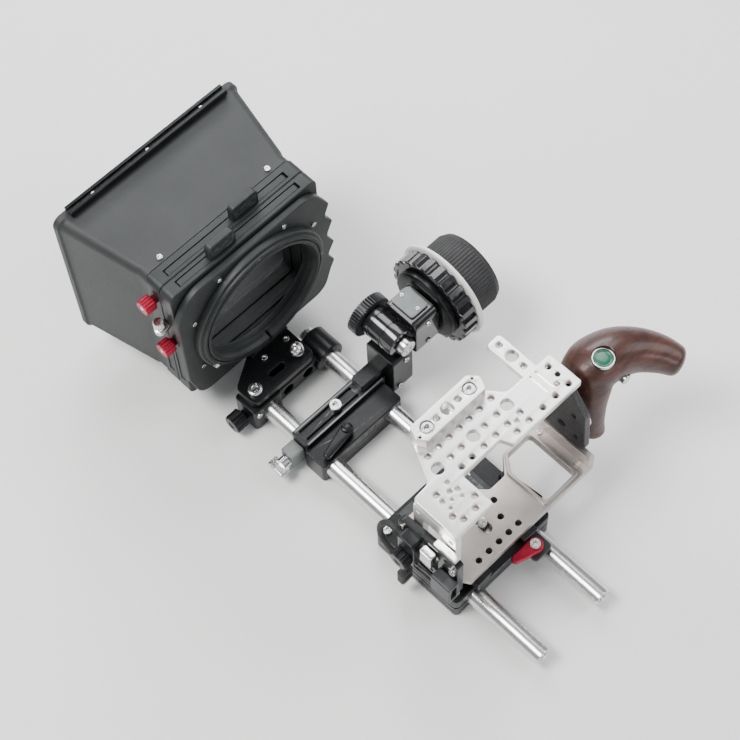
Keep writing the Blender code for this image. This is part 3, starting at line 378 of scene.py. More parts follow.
def smooth_route(points, step):
    """Even points along a smooth curve through the route."""
    fine = through([Vector(p) for p in points])
    lengths = [0.0]
    for p, q in zip(fine, fine[1:]):
        lengths.append(lengths[-1] + (q - p).length)
    count = round(lengths[-1] / step)
    even = []
    index = 0
    for i in range(count + 1):
        target = lengths[-1] * i / count
        while index < len(fine) - 2 and lengths[index + 1] < target:
            index += 1
        share = (target - lengths[index]) / (lengths[index + 1] - lengths[index])
        even.append(fine[index].lerp(fine[index + 1], share))
    return even


# ---------------- solids


def facing(seat, out):
    """A frame at seat whose Z points out."""
    turn = Vector(out).to_track_quat("Z", "Y").to_matrix().to_4x4()
    return Matrix.Translation(seat) @ turn


def upright(x, y, z=0.0):
    return facing((x, y, z), UP)


def lengthwise(x, z):
    return facing((x, 0, z), FORWARD)


def crosswise(y, z, x=0.0, side=1):
    return facing((x, y, z), RIGHT * side)


class Solid:
    """A mesh in world millimetres that closed shapes are added to, one call after another."""

    def __init__(self):
        self.mesh = bmesh.new()

    def box(self, low, high):
        low, high = Vector(low), Vector(high)
        place = Matrix.Translation((low + high) / 2) @ Matrix.Diagonal((*(high - low), 1))
        bmesh.ops.create_cube(self.mesh, size=1.0, matrix=place)
        return self

    def rod(self, start, end, radius, sides=48):
        start, end = Vector(start), Vector(end)
        place = facing((start + end) / 2, end - start)
        settings = dict(cap_ends=True, segments=sides, radius1=radius, radius2=radius)
        bmesh.ops.create_cone(self.mesh, depth=(end - start).length, matrix=place, **settings)
        return self

    def ring(self, points):
        return [self.mesh.verts.new(point) for point in points]

    def skin(self, rings):
        """Faces between each ring and the next. A ring of one point closes to a tip."""
        sides = max(len(ring) for ring in rings)
        made = []
        for lower, upper in zip(rings, rings[1:]):
            for i in range(sides):
                j = (i + 1) % sides
                corners = [lower[i % len(lower)], lower[j % len(lower)]]
                corners += [upper[j % len(upper)], upper[i % len(upper)]]
                unique = list(dict.fromkeys(corners))
                if len(unique) > 2:
                    made.append(self.mesh.faces.new(unique))
        bmesh.ops.recalc_face_normals(self.mesh, faces=made)
        return self

    def plate(self, place, low, high, outline, holes=(), edge=0.4):
        """A flat outline with holes, thick from low to high, with every edge rounded off by edge.

        place is an axis name, or a frame whose Z is the thickness.
        """
        curve = bpy.data.curves.new("outline", "CURVE")
        curve.dimensions = "2D"
        curve.fill_mode = "BOTH"
        curve.extrude = (high - low) / 2 - edge
        curve.bevel_depth = edge
        curve.bevel_resolution = 1
        curve.offset = -edge
        for loop in (outline, *holes):
            spline = curve.splines.new("POLY")
            spline.points.add(len(loop) - 1)
            for point, (u, v) in zip(spline.points, loop):
                point.co = (u, v, 0, 1)
            spline.use_cyclic_u = True
        helper = link("outline", curve)
        graph = bpy.context.evaluated_depsgraph_get()
        made = bmesh.new()
        made.from_mesh(bpy.data.meshes.new_from_object(helper.evaluated_get(graph)))
        bmesh.ops.remove_doubles(made, verts=made.verts, dist=WELD)
        bmesh.ops.recalc_face_normals(made, faces=made.faces)
        if isinstance(place, str):
            made.transform(Matrix.Translation(AXES[place] * (low + high) / 2) @ OUTLINE_FRAMES[place])
        else:
            made.transform(place @ Matrix.Translation((0, 0, (low + high) / 2)))
        joined = bpy.data.meshes.new("joined")
        made.to_mesh(joined)
        made.free()
        self.mesh.from_mesh(joined)
        bpy.data.meshes.remove(joined)
        bpy.data.curves.remove(curve)
        return self

    def slab(self, axis, node, corner, edge, holes=()):
        """A node's whole box as a plate with rounded corners, thick along an axis."""
        low, high = extent(node)
        u, v = ("XYZ".index(letter) for letter in "XYZ".replace(axis, ""))
        w = "XYZ".index(axis)
        outline = rectangle((low[u], low[v]), (high[u], high[v]), corner)
        return self.plate(axis, low[w], high[w], outline, holes, edge)

    def turned(self, place, profile, sides=72, flutes=0, depth=0.0, closed=False):
        """Turns (radius, height) points round a frame's Z. A third value is how far flutes cut in."""
        rings = []
        for radius, height, *share in profile:
            points = []
            for i in range(sides if radius else 1):
                angle = 2 * math.pi * i / sides
                cut = depth * share[0] * (0.5 - 0.5 * math.cos(flutes * angle)) if share else 0.0
                spot = Vector((math.cos(angle), math.sin(angle), 0)) * (radius - cut)
                points.append(place @ (spot + UP * height))
            rings.append(self.ring(points))
        return self.skin(rings + rings[:1] if closed else rings)

    def loft(self, sections, sides=40):
        """Skins rounded sections of (centre, across, up) vectors, with a domed cap past each end."""
        cap = ((0.35, 0.94), (0.62, 0.79), (0.82, 0.58), (0.95, 0.32))
        domes = []
        tips = []
        for end, inner in ((sections[0], sections[1]), (sections[-1], sections[-2])):
            rise = (end[0] - inner[0]).normalized() * end[2].length * 0.45
            domes.append([(end[0] + rise * up, end[1] * share, end[2] * share) for up, share in cap])
            tips.append([end[0] + rise])
        rings = []
        for centre, across, up in (*reversed(domes[0]), *sections, *domes[1]):
            turns = [2 * math.pi * i / sides for i in range(sides)]
            rings.append([centre + across * math.cos(a) + up * math.sin(a) for a in turns])
        return self.skin([self.ring(points) for points in (tips[0], *rings, tips[1])])

    def screw(self, seat, out, radius, height, sides=40):
        """A cap screw's head with its hexagonal socket, standing on seat."""
        place = facing(seat, out)
        socket = circle((0, 0), radius * 0.52, 6)
        self.plate(place, 0, height, circle((0, 0), radius, sides), [socket], radius * 0.09)
        return self.rod(place.translation, place @ Vector((0, 0, height * 0.35)), radius * 0.6, 24)

    def threads(self, places, radius, low, high):
        """Thread ridges round the inside of upright holes."""
        inner = [(radius - 0.05 - r, h) for r, h in thread(0.0, low + 0.5, high - 0.5, 0.9, -0.3)]
        profile = [(radius + 0.1, low + 0.5), *inner, (radius + 0.1, high - 0.5)]
        for x, y in places:
            self.turned(upright(x, y), profile, 24, closed=True)
        return self


def thread(radius, low, high, pitch=0.8, depth=0.35):
    """The (radius, height) points of a threaded stretch, with one ridge to each pitch."""
    points = []
    for i in range(int((high - low) / pitch)):
        points += [(radius - depth, low + i * pitch), (radius, low + (i + 0.5) * pitch)]
    return points + [(radius - depth, high)]


# ---------------- pieces


def mesh_object(name, solid):
    """Turns a solid into an object in metres, and frees the solid."""
    solid.mesh.transform(Matrix.Scale(MM, 4))
    mesh = bpy.data.meshes.new(name)
    solid.mesh.to_mesh(mesh)
    solid.mesh.free()
    return link(name, mesh)


def applied(obj):
    """Gives obj the mesh that its modifiers make, and drops the modifiers."""
    graph = bpy.context.evaluated_depsgraph_get()
    mesh = bpy.data.meshes.new_from_object(obj.evaluated_get(graph))
    obj.modifiers.clear()
    obj.data = mesh


def combine(obj, tool, operation):
    helper = mesh_object("helper", tool)
    modifier = obj.modifiers.new("Boolean", "BOOLEAN")
    modifier.object = helper
    modifier.operation = operation
    modifier.solver = "EXACT"
    modifier.use_self = True
    applied(obj)
    bpy.data.objects.remove(helper)


def dress(obj, look, nodes="", edge=0.0, body=None):
    """Rounds a piece's edges, shades it, paints it and lets it ride on a body.

    It rides on the body of the nodes that it stands for, unless it is given one.
    """
    if edge:
        bevel = obj.modifiers.new("Edges", "BEVEL")
        bevel.width = edge * MM
        bevel.segments = 2
        bevel.limit_method = "ANGLE"
        bevel.angle_limit = CREASE
        applied(obj)
    obj.data.shade_smooth()
    obj.data.set_sharp_from_angle(angle=CREASE)
    normals = obj.modifiers.new("Normals", "WEIGHTED_NORMAL")
    normals.keep_sharp = True
    obj.data.materials.clear()
    obj.data.materials.append(LOOKS[look])
    replaced = nodes.split()
    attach(obj, body or BODY_OF[replaced[0]])
    if replaced:
        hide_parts(*replaced)
    return obj


def piece(name, solid, look, nodes="", edge=0.0, join=None, cut=None, body=None):
    """One visible piece: its solid, a solid to unite with it and a solid to cut from it.

    nodes are the CAD nodes that it stands for, and edge is how far its sharp edges are rounded off.
    """
    obj = mesh_object(name, solid)
    for tool, operation in ((join, "UNION"), (cut, "DIFFERENCE")):
        if tool:
            combine(obj, tool, operation)
    return dress(obj, look, nodes, edge, body)


def screws(name, body, seats, out, radius, height, nodes=""):
    """Steel screws of one kind as one piece."""
    solid = Solid()
    for seat in seats:
        solid.screw(seat, out, radius, height)
    piece(name, solid, "steel", nodes, body=body)


# ---------------- cord

CABLE_R = 2.2
CABLE_ROUTE = [
    (-56.5, 9.3, 90.0), (-56.5, 12.0, 90.2), (-56.7, 15.0, 89.6), (-57.2, 18.0, 87.8),
    (-57.9, 20.3, 84.8), (-58.6, 21.6, 80.6), (-59.1, 22.0, 76.0), (-59.5, 21.5, 71.0),
    (-59.6, 20.0, 66.0), (-59.4, 17.6, 61.2), (-59.0, 14.6, 56.6), (-58.4, 11.2, 52.2),
    (-57.9, 7.8, 48.0), (-57.4, 4.6, 44.0), (-57.1, 2.4, 40.0), (-57.0, 1.2, 37.4),
    (-57.0, 1.0, 34.9),
]


def finger_grooves(low, high, x, half_x, heights, half_z, deep):
    """Grooves across both faces of a tab from low.y to high.y, one at each height."""
    grooves = Solid()
    for z in heights:
        for y, out in ((low.y, -1), (high.y, 1)):
            rim = sorted((y - out * deep, y + out))
            grooves.box((x - half_x, rim[0], z - half_z), (x + half_x, rim[1], z + half_z))
    return grooves


def build_plug():
    """The moulded plug with its finger grooves, and the bare metal tongue under it."""
    low, high = extent("video_plug")
    x, y = middle("video_plug").xy
    tip = high.z - 15
    body = Solid()
    body.plate("Z", tip, high.z - 0.6, rectangle((low.x, low.y), (high.x, high.y), 2.0), edge=0.7)
    collar = rectangle((low.x + 2.4, low.y + 0.7), (high.x - 2.4, high.y - 0.7), 2.2)
    body.plate("Z", high.z - 1.2, high.z, collar, edge=0.25)
    grooves = finger_grooves(low, high, x, 3.2, [tip + 3.6 + i * 1.9 for i in range(4)], 0.4, 0.35)
    plug = piece("plug_body", body, "black_rubber", "video_plug", 0.15, cut=grooves)
    shell = rectangle((x - 3.8, y - 1.5), (x + 3.8, y + 1.5), 0.9)
    mouth = rectangle((x - 3.3, y - 1.0), (x + 3.3, y + 1.0), 0.6)
    tongue = Solid().plate("Z", low.z, tip + 1, shell, [mouth], 0.12)
    tongue.box((x - 2.6, y - 0.3, low.z + 1.0), (x + 2.6, y + 0.3, tip))
    return [plug, piece("plug_shell", tongue, "pale_gold", body="cage")]


def build_cord():
    on_it = build_plug()
    curve = bpy.data.curves.new("cable_line", "CURVE")
    curve.dimensions = "3D"
    curve.bevel_depth = CABLE_R * MM
    curve.bevel_resolution = 7
    curve.use_fill_caps = True
    spline = curve.splines.new("POLY")
    route = smooth_route(CABLE_ROUTE, 1.2)
    spline.points.add(len(route) - 1)
    for point, place in zip(spline.points, route):
        point.co = (*(place * MM), 1)
    cable = link("pigtail_cable", curve)
    curve.materials.append(LOOKS["black_rubber"])
    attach(cable, "cage")
    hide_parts("video_cable")


def build_strain_relief():
    low, high = extent("cable_strain_relief")
    centre = middle("cable_strain_relief")
    profile = [(0, low.y), (3.8, low.y), (3.8, low.y + 1.2)]
    for i in range(4):
        y = low.y + 1.4 + i * 1.05
        radius = 3.5 - i * 0.2
        profile += [(radius - 0.45, y), (radius - 0.45, y + 0.3), (radius, y + 0.45), (radius, y + 0.9)]
    profile += [(2.6, high.y), (0, high.y)]
    solid = Solid().turned(lengthwise(centre.x, centre.z), profile, 40)
    piece("strain_relief", solid, "black_rubber", "cable_strain_relief")


# ---------------- rods, baseplate, quick release

ROD_Z = middle("rod_left").z
BORE_R = 7.7
ROD_THREAD_R = 5.1


def rod_bores(low, high):
    bores = Solid()
    for side in ("left", "right"):
        x = middle(f"rod_{side}").x
        bores.rod((x, low, ROD_Z), (x, high, ROD_Z), BORE_R, 72)
    return bores


def build_rods():
    for side in ("left", "right"):
        low, high = extent(f"rod_{side}")
        x, z = middle(f"rod_{side}").xz
        outer = (high.x - low.x) / 2
        bore = thread(ROD_THREAD_R, 1.0, 14.6)
        chamfer = ROD_THREAD_R + 0.6
        profile = [(0, low.y + 15), *reversed([(r, low.y + h) for r, h in bore]), (chamfer, low.y)]
        profile += [(outer - 0.7, low.y), (outer, low.y + 0.7), (outer, high.y - 0.7)]
        profile += [(outer - 0.7, high.y), (chamfer, high.y), *((r, high.y - h) for r, h in bore)]
        solid = Solid().turned(lengthwise(x, z), [*profile, (0, high.y - 15)], 96)
        piece(f"rod_tube_{side}", solid, "satin_rod", f"rod_{side}", 0.15)


def build_baseplate():
    low, high = extent("baseplate_body")
    holes = [circle((0, -12), 3.2), circle((0, 10), 4.8), circle((-43, 0), 2.9), circle((43, 0), 2.9)]
    body = Solid().slab("Z", "baseplate_body", 4.0, 0.9, holes)
    cutter = rod_bores(low.y - 1, high.y + 1)
    for start, end in ((low.x - 1, -36), (36, high.x + 1)):
        cutter.box((start, low.y - 1, ROD_Z - 0.8), (end, high.y + 1, ROD_Z + 0.8))
    for x in (low.x, high.x):
        for z in (18.4, 6.0):
            cutter.box((x - 0.5, low.y - 1, z), (x + 0.5, high.y + 1, z + 1.2))
    piece("baseplate", body, "black_anodised", "baseplate_body", 0.3, cut=cutter)
    seats = [(x, y, high.z - 0.2) for x in (-42, 42) for y in (-33, 33)]
    screws("baseplate_screws", "base", seats, UP, 3.2, 2.2)


def build_rod_clamp_levers():
    for side, x, lean in (("left", -43.0, -1.0), ("right", 43.0, 5.0)):
        node = f"rod_clamp_lever_{side}"
        top = extent(node)[1].z
        solid = Solid().plate("Z", 27, 33, tapered((x, 0), 5.0, (x + lean, -27), 3.2), edge=1.3)
        profile = [(0, 3), (2.5, 3), (2.5, 24.6), (4.4, 24.6), (4.4, 34.8), (3.4, top), (0, top)]
        solid.turned(upright(x, 0), profile, 48)
        body = f"rod_lever_{side}"
        piece(f"clamp_lever_{side}", solid, "black_anodised", node, 0.3)
        screws(f"clamp_lever_screw_{side}", body, [(x, 0, top - 1.6)], UP, 2.4, 1.5)


def build_quick_release():
    low, high = extent("quick_release_receiver")
    floor_z = 28.0
    section = [(-30, low.z, 0.8), (30, low.z, 0.8), (30, high.z, 0.8), (16, high.z, 0.3)]
    section += [(19, floor_z, 0.3), (-19, floor_z, 0.3), (-16, high.z, 0.3), (-30, high.z, 0.8)]
    receiver = Solid().plate("Y", -43.5, high.y, rounded(section, 3))
    tab = Solid().plate("Z", low.z, floor_z, rectangle((13, low.y), (30, -38), 3.0))
    piece("receiver", receiver, "dark_grey", "quick_release_receiver", join=tab)
    seats = [(x, y, high.z - 0.3) for x in (-24.5, 24.5) for y in (-30, 20)]
    screws("receiver_screws", "base", seats, UP, 2.4, 1.6)

    pivot = (20.0, -50.0)
    outline = tapered(pivot, 6.0, (3.0, -47.6), 3.0)
    lever = Solid().plate("Z", 28.3, 33.5, outline, [circle(pivot, 2.6)], 0.9)
    piece("release_lever_arm", lever, "red_anodised", "quick_release_lever")
    profile = [(0, 34.9), (1.6, 34.9), (1.8, 35.6), (3.6, 35.6), (4.0, 35.1), (4.0, 33.8), (1.7, 33.8)]
    pin = Solid().turned(upright(*pivot), [*profile, (1.7, 25), (0, 25)], 40)
    piece("release_lever_pin", pin, "steel", "quick_release_lever_pin", 0.12)

    low, high = extent("quick_release_plate")
    foot, neck, waist_z = 18.4, 15.4, 34.3
    section = [(-foot, low.z, 0.4), (foot, low.z, 0.4), (neck, waist_z, 0.2), (high.x, waist_z, 0.4)]
    section += [(high.x, high.z, 0.5), (low.x, high.z, 0.5), (low.x, waist_z, 0.4), (-neck, waist_z, 0.2)]
    plate = Solid().plate("Y", low.y, high.y, rounded(section, 3), edge=0.5)
    pocket = Solid().rod((1.4, -17, 34.8), (1.4, -17, 41), 7.2)
    piece("release_plate", plate, "dark_grey", "quick_release_plate", cut=pocket)

    low, high = extent("camera_screw")
    profile = [(0, high.z), (2.3, high.z), *reversed(thread(3.1, 40.4, high.z - 0.4, 1.27, 0.5))]
    profile += [(3.1, 39.4), (6.6, 39.4, 1), (6.6, low.z, 1), (4.0, low.z), (4.0, 37.2), (0, 37.2)]
    screw = Solid().turned(upright(*middle("camera_screw").xy), profile, 96, 24, 0.4)
    piece("camera_bolt", screw, "steel", "camera_screw", 0.1)


# ---------------- cage


def build_cage_floor():
    low, high = extent("cage_floor_plate")
    base, top = low.z, 46.0
    outline = [(-35, low.y, 1.5), (high.x, low.y, 2.5), (high.x, 10, 2.5), (50, 10, 2.5)]
    outline += [(38.5, -2.5, 2.5), (24, -2.5, 4), (16, 6, 4), (16, high.y, 4)]
    outline += [(low.x, high.y, 3), (low.x, -33, 2)]
    corners = [(44, -36.5, 3.5), (74, -36.5, 3.5), (74, 6.5, 3.5), (52, 6.5, 3.5), (43, -4.5, 3.5)]
    window = rounded(corners)
    holes = [circle((x, -34), 2.3) for x in (-20, -10, 0, 9.7, 19.3)]
    holes += [circle((14.3, -22), 2.3), circle((20, -10), 2.3), rectangle((-2.1, -25), (4.9, -11), 3.4)]
    solid = Solid().plate("Z", base, top, rounded(outline), [window, *holes], 0.5)
    lip = rounded([(41.5, -38.5, 2), (77, -38.5, 4), (77, 8.8, 4), (50.6, 8.8, 4), (40.6, -3, 4)])
    solid.plate("Z", top - 1, top + 2, lip, [window])
    solid.plate("X", 84, 89.8, rectangle((-40.5, top - 1), (9.5, high.z), 2.0), edge=0.5)
    # The floor plate takes the darker satin copy: painted shade under the roof.
    piece("cage_floor", solid, "satin_floor", "cage_floor_plate")
    screws("floor_screws", "cage", [(80.5, y, top - 0.2) for y in (-33, 3)], UP, 2.2, 1.2)


THREAD_R = 2.5
ROOF_THREADS = [
    *((x, 18) for x in (-17, -7, 3, 12.6, 22, 32, 43)),
    *((x, 7) for x in (-6.7, 3.3, 25.4, 37, 87.4)),
    *((x, -3) for x in (-6.7, 3.3, 14.4, 25.7, 37, 49)),
    *((x, -11.3) for x in (37.4, 49, 62.3, 74.7, 87.4)),
    *((-33, -5.6), (-36.4, -23.6), (-15.7, -23.6), (-32.6, -30), (-21.7, -30)),
]
# The roof's holes by radius: threaded, large, small and for pins.
ROOF_HOLES = (
    (THREAD_R, ROOF_THREADS),
    (4.5, [(-18.6, 7), (14.7, 7), (47, 7)]),
    (1.9, [(43, -6), (82, -6), (87.4, -1.4), (-25, -10), (-21.4, -4.3), (-20, -12.4), (-33.6, -11.7)]),
    (1.3, [(-28, -15), (-33, -18.6), (-21.4, -18)]),
)


def build_cage_roof():
    low, high = extent("cage_roof_plate")
    outline = [(-17, 33, 3), (-31, 4, 6), (low.x, 3, 3), (low.x, low.y, 2), (-11, low.y, 2)]
    outline += [(-11, -8, 2), (25, -7.5, 2), (29, -16.5, 3), (high.x, -16.5, 1.5), (high.x, 13, 1.5)]
    outline += [(54, 13.5, 8), (44, 26, 5), (43, high.y, 4), (-12, high.y, 4)]
    holes = [circle(place, radius, 28) for radius, places in ROOF_HOLES for place in places]
    roof = Solid().plate("Z", low.z, high.z, rounded(outline), holes, 0.45)
    slots = Solid()
    for x in (73.0, 78.5):
        slot = rectangle((x - 0.9, -6), (x + 0.9, 11), 0.85, 4)
        slots.plate("Z", high.z - 2.5, high.z + 1, slot, edge=0.05)
    piece("cage_roof", roof, "satin_cage", "cage_roof_plate", cut=slots)
    ridges = Solid().threads(ROOF_THREADS, THREAD_R, low.z, high.z)
    # The thread ridges take the darker satin copy: painted shade inside the holes.
    piece("cage_roof_threads", ridges, "satin_floor", body="cage")


def build_top_rail():
    low, high = extent("cage_top_rail")
    y = middle("top_rail_screw_left").y
    corners = [(-14, 38, 3), (39.6, 38, 3), (46, 31, 3), (42, 21.5, 3), (-13, 21.5, 3), (-17.6, 29, 3)]
    holes = [circle((x, y), 2.4) for x in (3, 23)] + [circle((13, y), 4.5)]
    holes += [circle(place, 0.9, 20) for place in ((-14.6, 27.4), (40.6, 33.4))]
    rail = Solid().plate("Z", low.z, high.z, rounded(corners), holes, 0.6)
    bores = Solid()
    seats = []
    for side in ("left", "right"):
        seat = Vector((*middle(f"top_rail_screw_{side}").xy, 137.0))
        bores.turned(upright(*seat), [(0, 0), (4.9, 0), (4.9, 4.5), (5.6, 5.2), (0, 5.2)], 64)
        seats.append(seat + UP * 0.1)
    piece("top_rail", rail, "satin_cage", "cage_top_rail", cut=bores)
    nodes = "top_rail_screw_left top_rail_screw_right"
    screws("top_rail_screws", "cage", seats, UP, 4.3, 4.0, nodes)


def build_front_arm():
    low, high = extent("cage_front_arm")
    outline = rounded([(72, low.y, 1.5), (85, low.y, 1.5), (85, high.y, 3), (72, high.y, 3)])
    holes = [circle((78.5, 44), 2.4), circle((78.5, 32), 4.5), circle((78.5, 21), 2.4)]
    arm = Solid().plate("Z", low.z, high.z, outline, holes, 0.5)
    piece("front_arm", arm, "satin_cage", "cage_front_arm")


def build_cage_wall():
    low, high = extent("cage_left_wall")
    corners = [(low.y, low.z, 4), (high.y, low.z, 4), (high.y, high.z, 1), (low.y, high.z, 1)]
    holes = [rectangle((-27, 66), (-6, 112), 5.0)]
    holes += [circle((-31.5, z), 1.9) for z in (50, 62, 74, 98, 116)]
    holes += [circle((-1.5, z), 1.9) for z in (50, 118)] + [circle((-16, 52), 3.2)]
    wall = Solid().plate("X", low.x, high.x, rounded(corners), holes, 0.5)
    piece("left_wall", wall, "satin_cage", "cage_left_wall")
    outer = extent("cable_clamp_base")[0].x + 9.0
    seats = [(outer + 0.2, y, z) for y, z in ((-39.5, 96), (5.5, 64), (-39.5, 90), (6, 93))]
    screws("wall_screws", "cage", seats, -RIGHT, 2.6, 1.8)
    strip = Solid().plate("X", -51.4, -46.8, rectangle((-41, 104.2), (-21, 108.4), 0.9))
    piece("clamp_top_strip", strip, "satin_cage", body="cage")


def build_grip_bracket():
    low, high = extent("grip_bracket")
    corners = [(high.y, low.z, 2), (high.y, high.z, 1), (-14, high.z, 1), (-30, 104, 8)]
    corners += [(-33, 62, 5), (-28, low.z, 2)]
    holes = [circle(middle("bracket_rosette").yz, 3.6), rectangle((-6, 96), (-1.6, 112), 2.2)]
    holes += [circle(place, 2.2) for place in ((2.5, 66), (-24, 70), (-20, 96))]
    bracket = Solid().plate("X", low.x, high.x, rounded(corners), holes, 0.8)
    piece("side_bracket", bracket, "wrinkle_paint", "grip_bracket")
    seats = [(high.x - 0.1, y, z) for y, z in ((2.5, 118), (-12, 118), (3.5, 104))]
    screws("side_bracket_screws", "cage", seats, RIGHT, 2.4, 1.6)


# ---------------- side grip

# Along the wooden handle: a point of its spine, half its width and half its depth there.
LIMB_SPINE = [
    ((108, -22, 47), 10.5, 8.5),
    ((108, -17, 59), 13.0, 10.5),
    ((110, -12, 73), 16.0, 12.5),
    ((114, -7, 86), 19.5, 15.0),
    ((119, -3, 96), 21.0, 16.0),
]
TAIL_SPINE = [
    ((113, -1, 96), 19.0, 15.5),
    ((125, -3, 98), 24.0, 18.5),
    ((140, -8, 100), 22.5, 18.0),
    ((153, -17, 99), 19.0, 16.0),
    ((163, -29, 96), 16.0, 14.0),
    ((169, -41, 93), 12.5, 11.5),
]
BADGE = Vector((124, -11, 114))
BUTTON = Vector((132, 0, 97))


def limb_sections(spine):
    """Rounded sections square to a smooth curve through the spine's points."""
    stops = through([Vector((*place, wide, deep)) for place, wide, deep in spine], 5)
    centres = [stop.xyz for stop in stops]
    last = len(stops) - 1
    sections = []
    for i, stop in enumerate(stops):
        along = (centres[min(i + 1, last)] - centres[max(i - 1, 0)]).normalized()
        across = along.cross(Vector((1, 0.35, 0.75))).normalized()
        sections.append((centres[i], across * stop[3], across.cross(along).normalized() * stop[4]))
    return sections


def build_grip_wood():
    """The limb and the tail melted into one carved shape, then bored for its bolt and fittings."""
    face = extent("grip_wood")[0].x
    y, z = middle("grip_rosette").yz
    wood = mesh_object("carved_handle", Solid().loft(limb_sections(LIMB_SPINE)))
    combine(wood, Solid().loft(limb_sections(TAIL_SPINE)), "UNION")
    remesh = wood.modifiers.new("Remesh", "REMESH")
    remesh.mode = "VOXEL"
    remesh.voxel_size = 1.1 * MM
    soften = wood.modifiers.new("Soften", "SMOOTH")
    soften.factor = 0.6
    soften.iterations = 14
    applied(wood)
    cutter = Solid().box((60, -70, 20), (face, 50, 140))
    cutter.rod((95, y, z), (116, y, z), 3.6).rod((116, y, z), (150, y, z), 5.8)
    combine(wood, cutter, "DIFFERENCE")
    recess = Solid().rod(BADGE, BADGE + UP * 20, 8.6, 64)
    recess.rod(BUTTON - FORWARD * 19, BUTTON - FORWARD * 50, 4.5)
    combine(wood, recess, "DIFFERENCE")
    dress(wood, "dark_wood", "grip_wood", 0.35)


def build_grip_fittings():
    profile = [(7.0, 0.3), (8.4, 0.3), (8.4, 3.4), (8.0, 3.9), (7.2, 3.9), (7.0, 3.6)]
    ring = Solid().turned(facing(BADGE, UP), profile, 96, closed=True)
    piece("badge_rim", ring, "steel", edge=0.08, body="grip")
    profile = [(0, 0.3), (6.95, 0.3), (6.95, 3.1), (6.3, 3.45), (5.6, 3.5), (5.35, 3.25), (5.1, 3.25)]
    profile += [(4.85, 3.52), (2.5, 3.62), (0, 3.65)]
    disc = Solid().turned(facing(BADGE, UP), profile, 96)
    piece("badge_disc", disc, "green_badge", "grip_badge", 0.05)

    low, high = extent("run_button")
    profile = [(0, -high.y), (4.1, -high.y), (4.1, -low.y - 0.8), (3.5, -low.y - 0.1), (2.6, -low.y)]
    profile += [(2.2, -low.y - 0.5), (0, -low.y - 0.7)]
    button = Solid().turned(facing(BUTTON, -FORWARD), profile, 56)
    piece("rear_button", button, "steel", "run_button", 0.12)

    low, high = extent("grip_bolt")
    y, z = middle("grip_bolt").yz
    seat_x = 116.2
    bolt = Solid().screw((seat_x, y, z), RIGHT, 5.0, high.x - seat_x)
    profile = [(0, low.x), (2.7, low.x), *thread(3.0, low.x + 0.4, low.x + 9.0)]
    profile += [(3.0, seat_x + 0.2), (0, seat_x + 0.2)]
    bolt.turned(crosswise(y, z), profile, 40)
    piece("through_bolt", bolt, "steel", "grip_bolt")


def build_rosettes():
    """Two discs whose facing sides carry radial teeth."""
    teeth = 48
    inner, outer = 9.4, 14.2
    for name, side in (("bracket_rosette", 1), ("grip_rosette", -1)):
        low, high = extent(name)
        thick = high.x - low.x
        place = crosswise(*middle(name).yz, low.x if side > 0 else high.x, side)
        profile = [(3.6, 0), (14.6, 0), (15.0, 0.4), (15.0, thick - 1.4), (14.4, thick - 0.9)]
        profile += [(9.0, thick - 0.9), (9.0, thick - 0.5), (3.9, thick - 0.5), (3.6, thick - 0.8)]
        solid = Solid().turned(place, profile, 96, closed=True)
        wide, thin = (radius * math.pi / teeth * 0.92 for radius in (outer, inner))
        foot_z, crest_z = thick - 1.0, thick - 0.05
        foot = [(inner, thin, foot_z), (inner, -thin, foot_z), (outer, -wide, foot_z), (outer, wide, foot_z)]
        crest = [(inner + 0.2, 0, crest_z), (outer - 0.2, 0, crest_z)]
        for i in range(teeth):
            turn = place @ Matrix.Rotation(2 * math.pi * i / teeth, 4, "Z")
            a, b, c, d, e, f = solid.ring(turn @ Vector(spot) for spot in (*foot, *crest))
            for corners in ((d, c, b, a), (a, b, e), (c, d, f), (b, c, f, e), (d, a, e, f)):
                solid.mesh.faces.new(corners)
        bmesh.ops.recalc_face_normals(solid.mesh, faces=solid.mesh.faces)
        piece(f"{name}_toothed", solid, "steel", name, 0.06)


# ---------------- video cable clamp


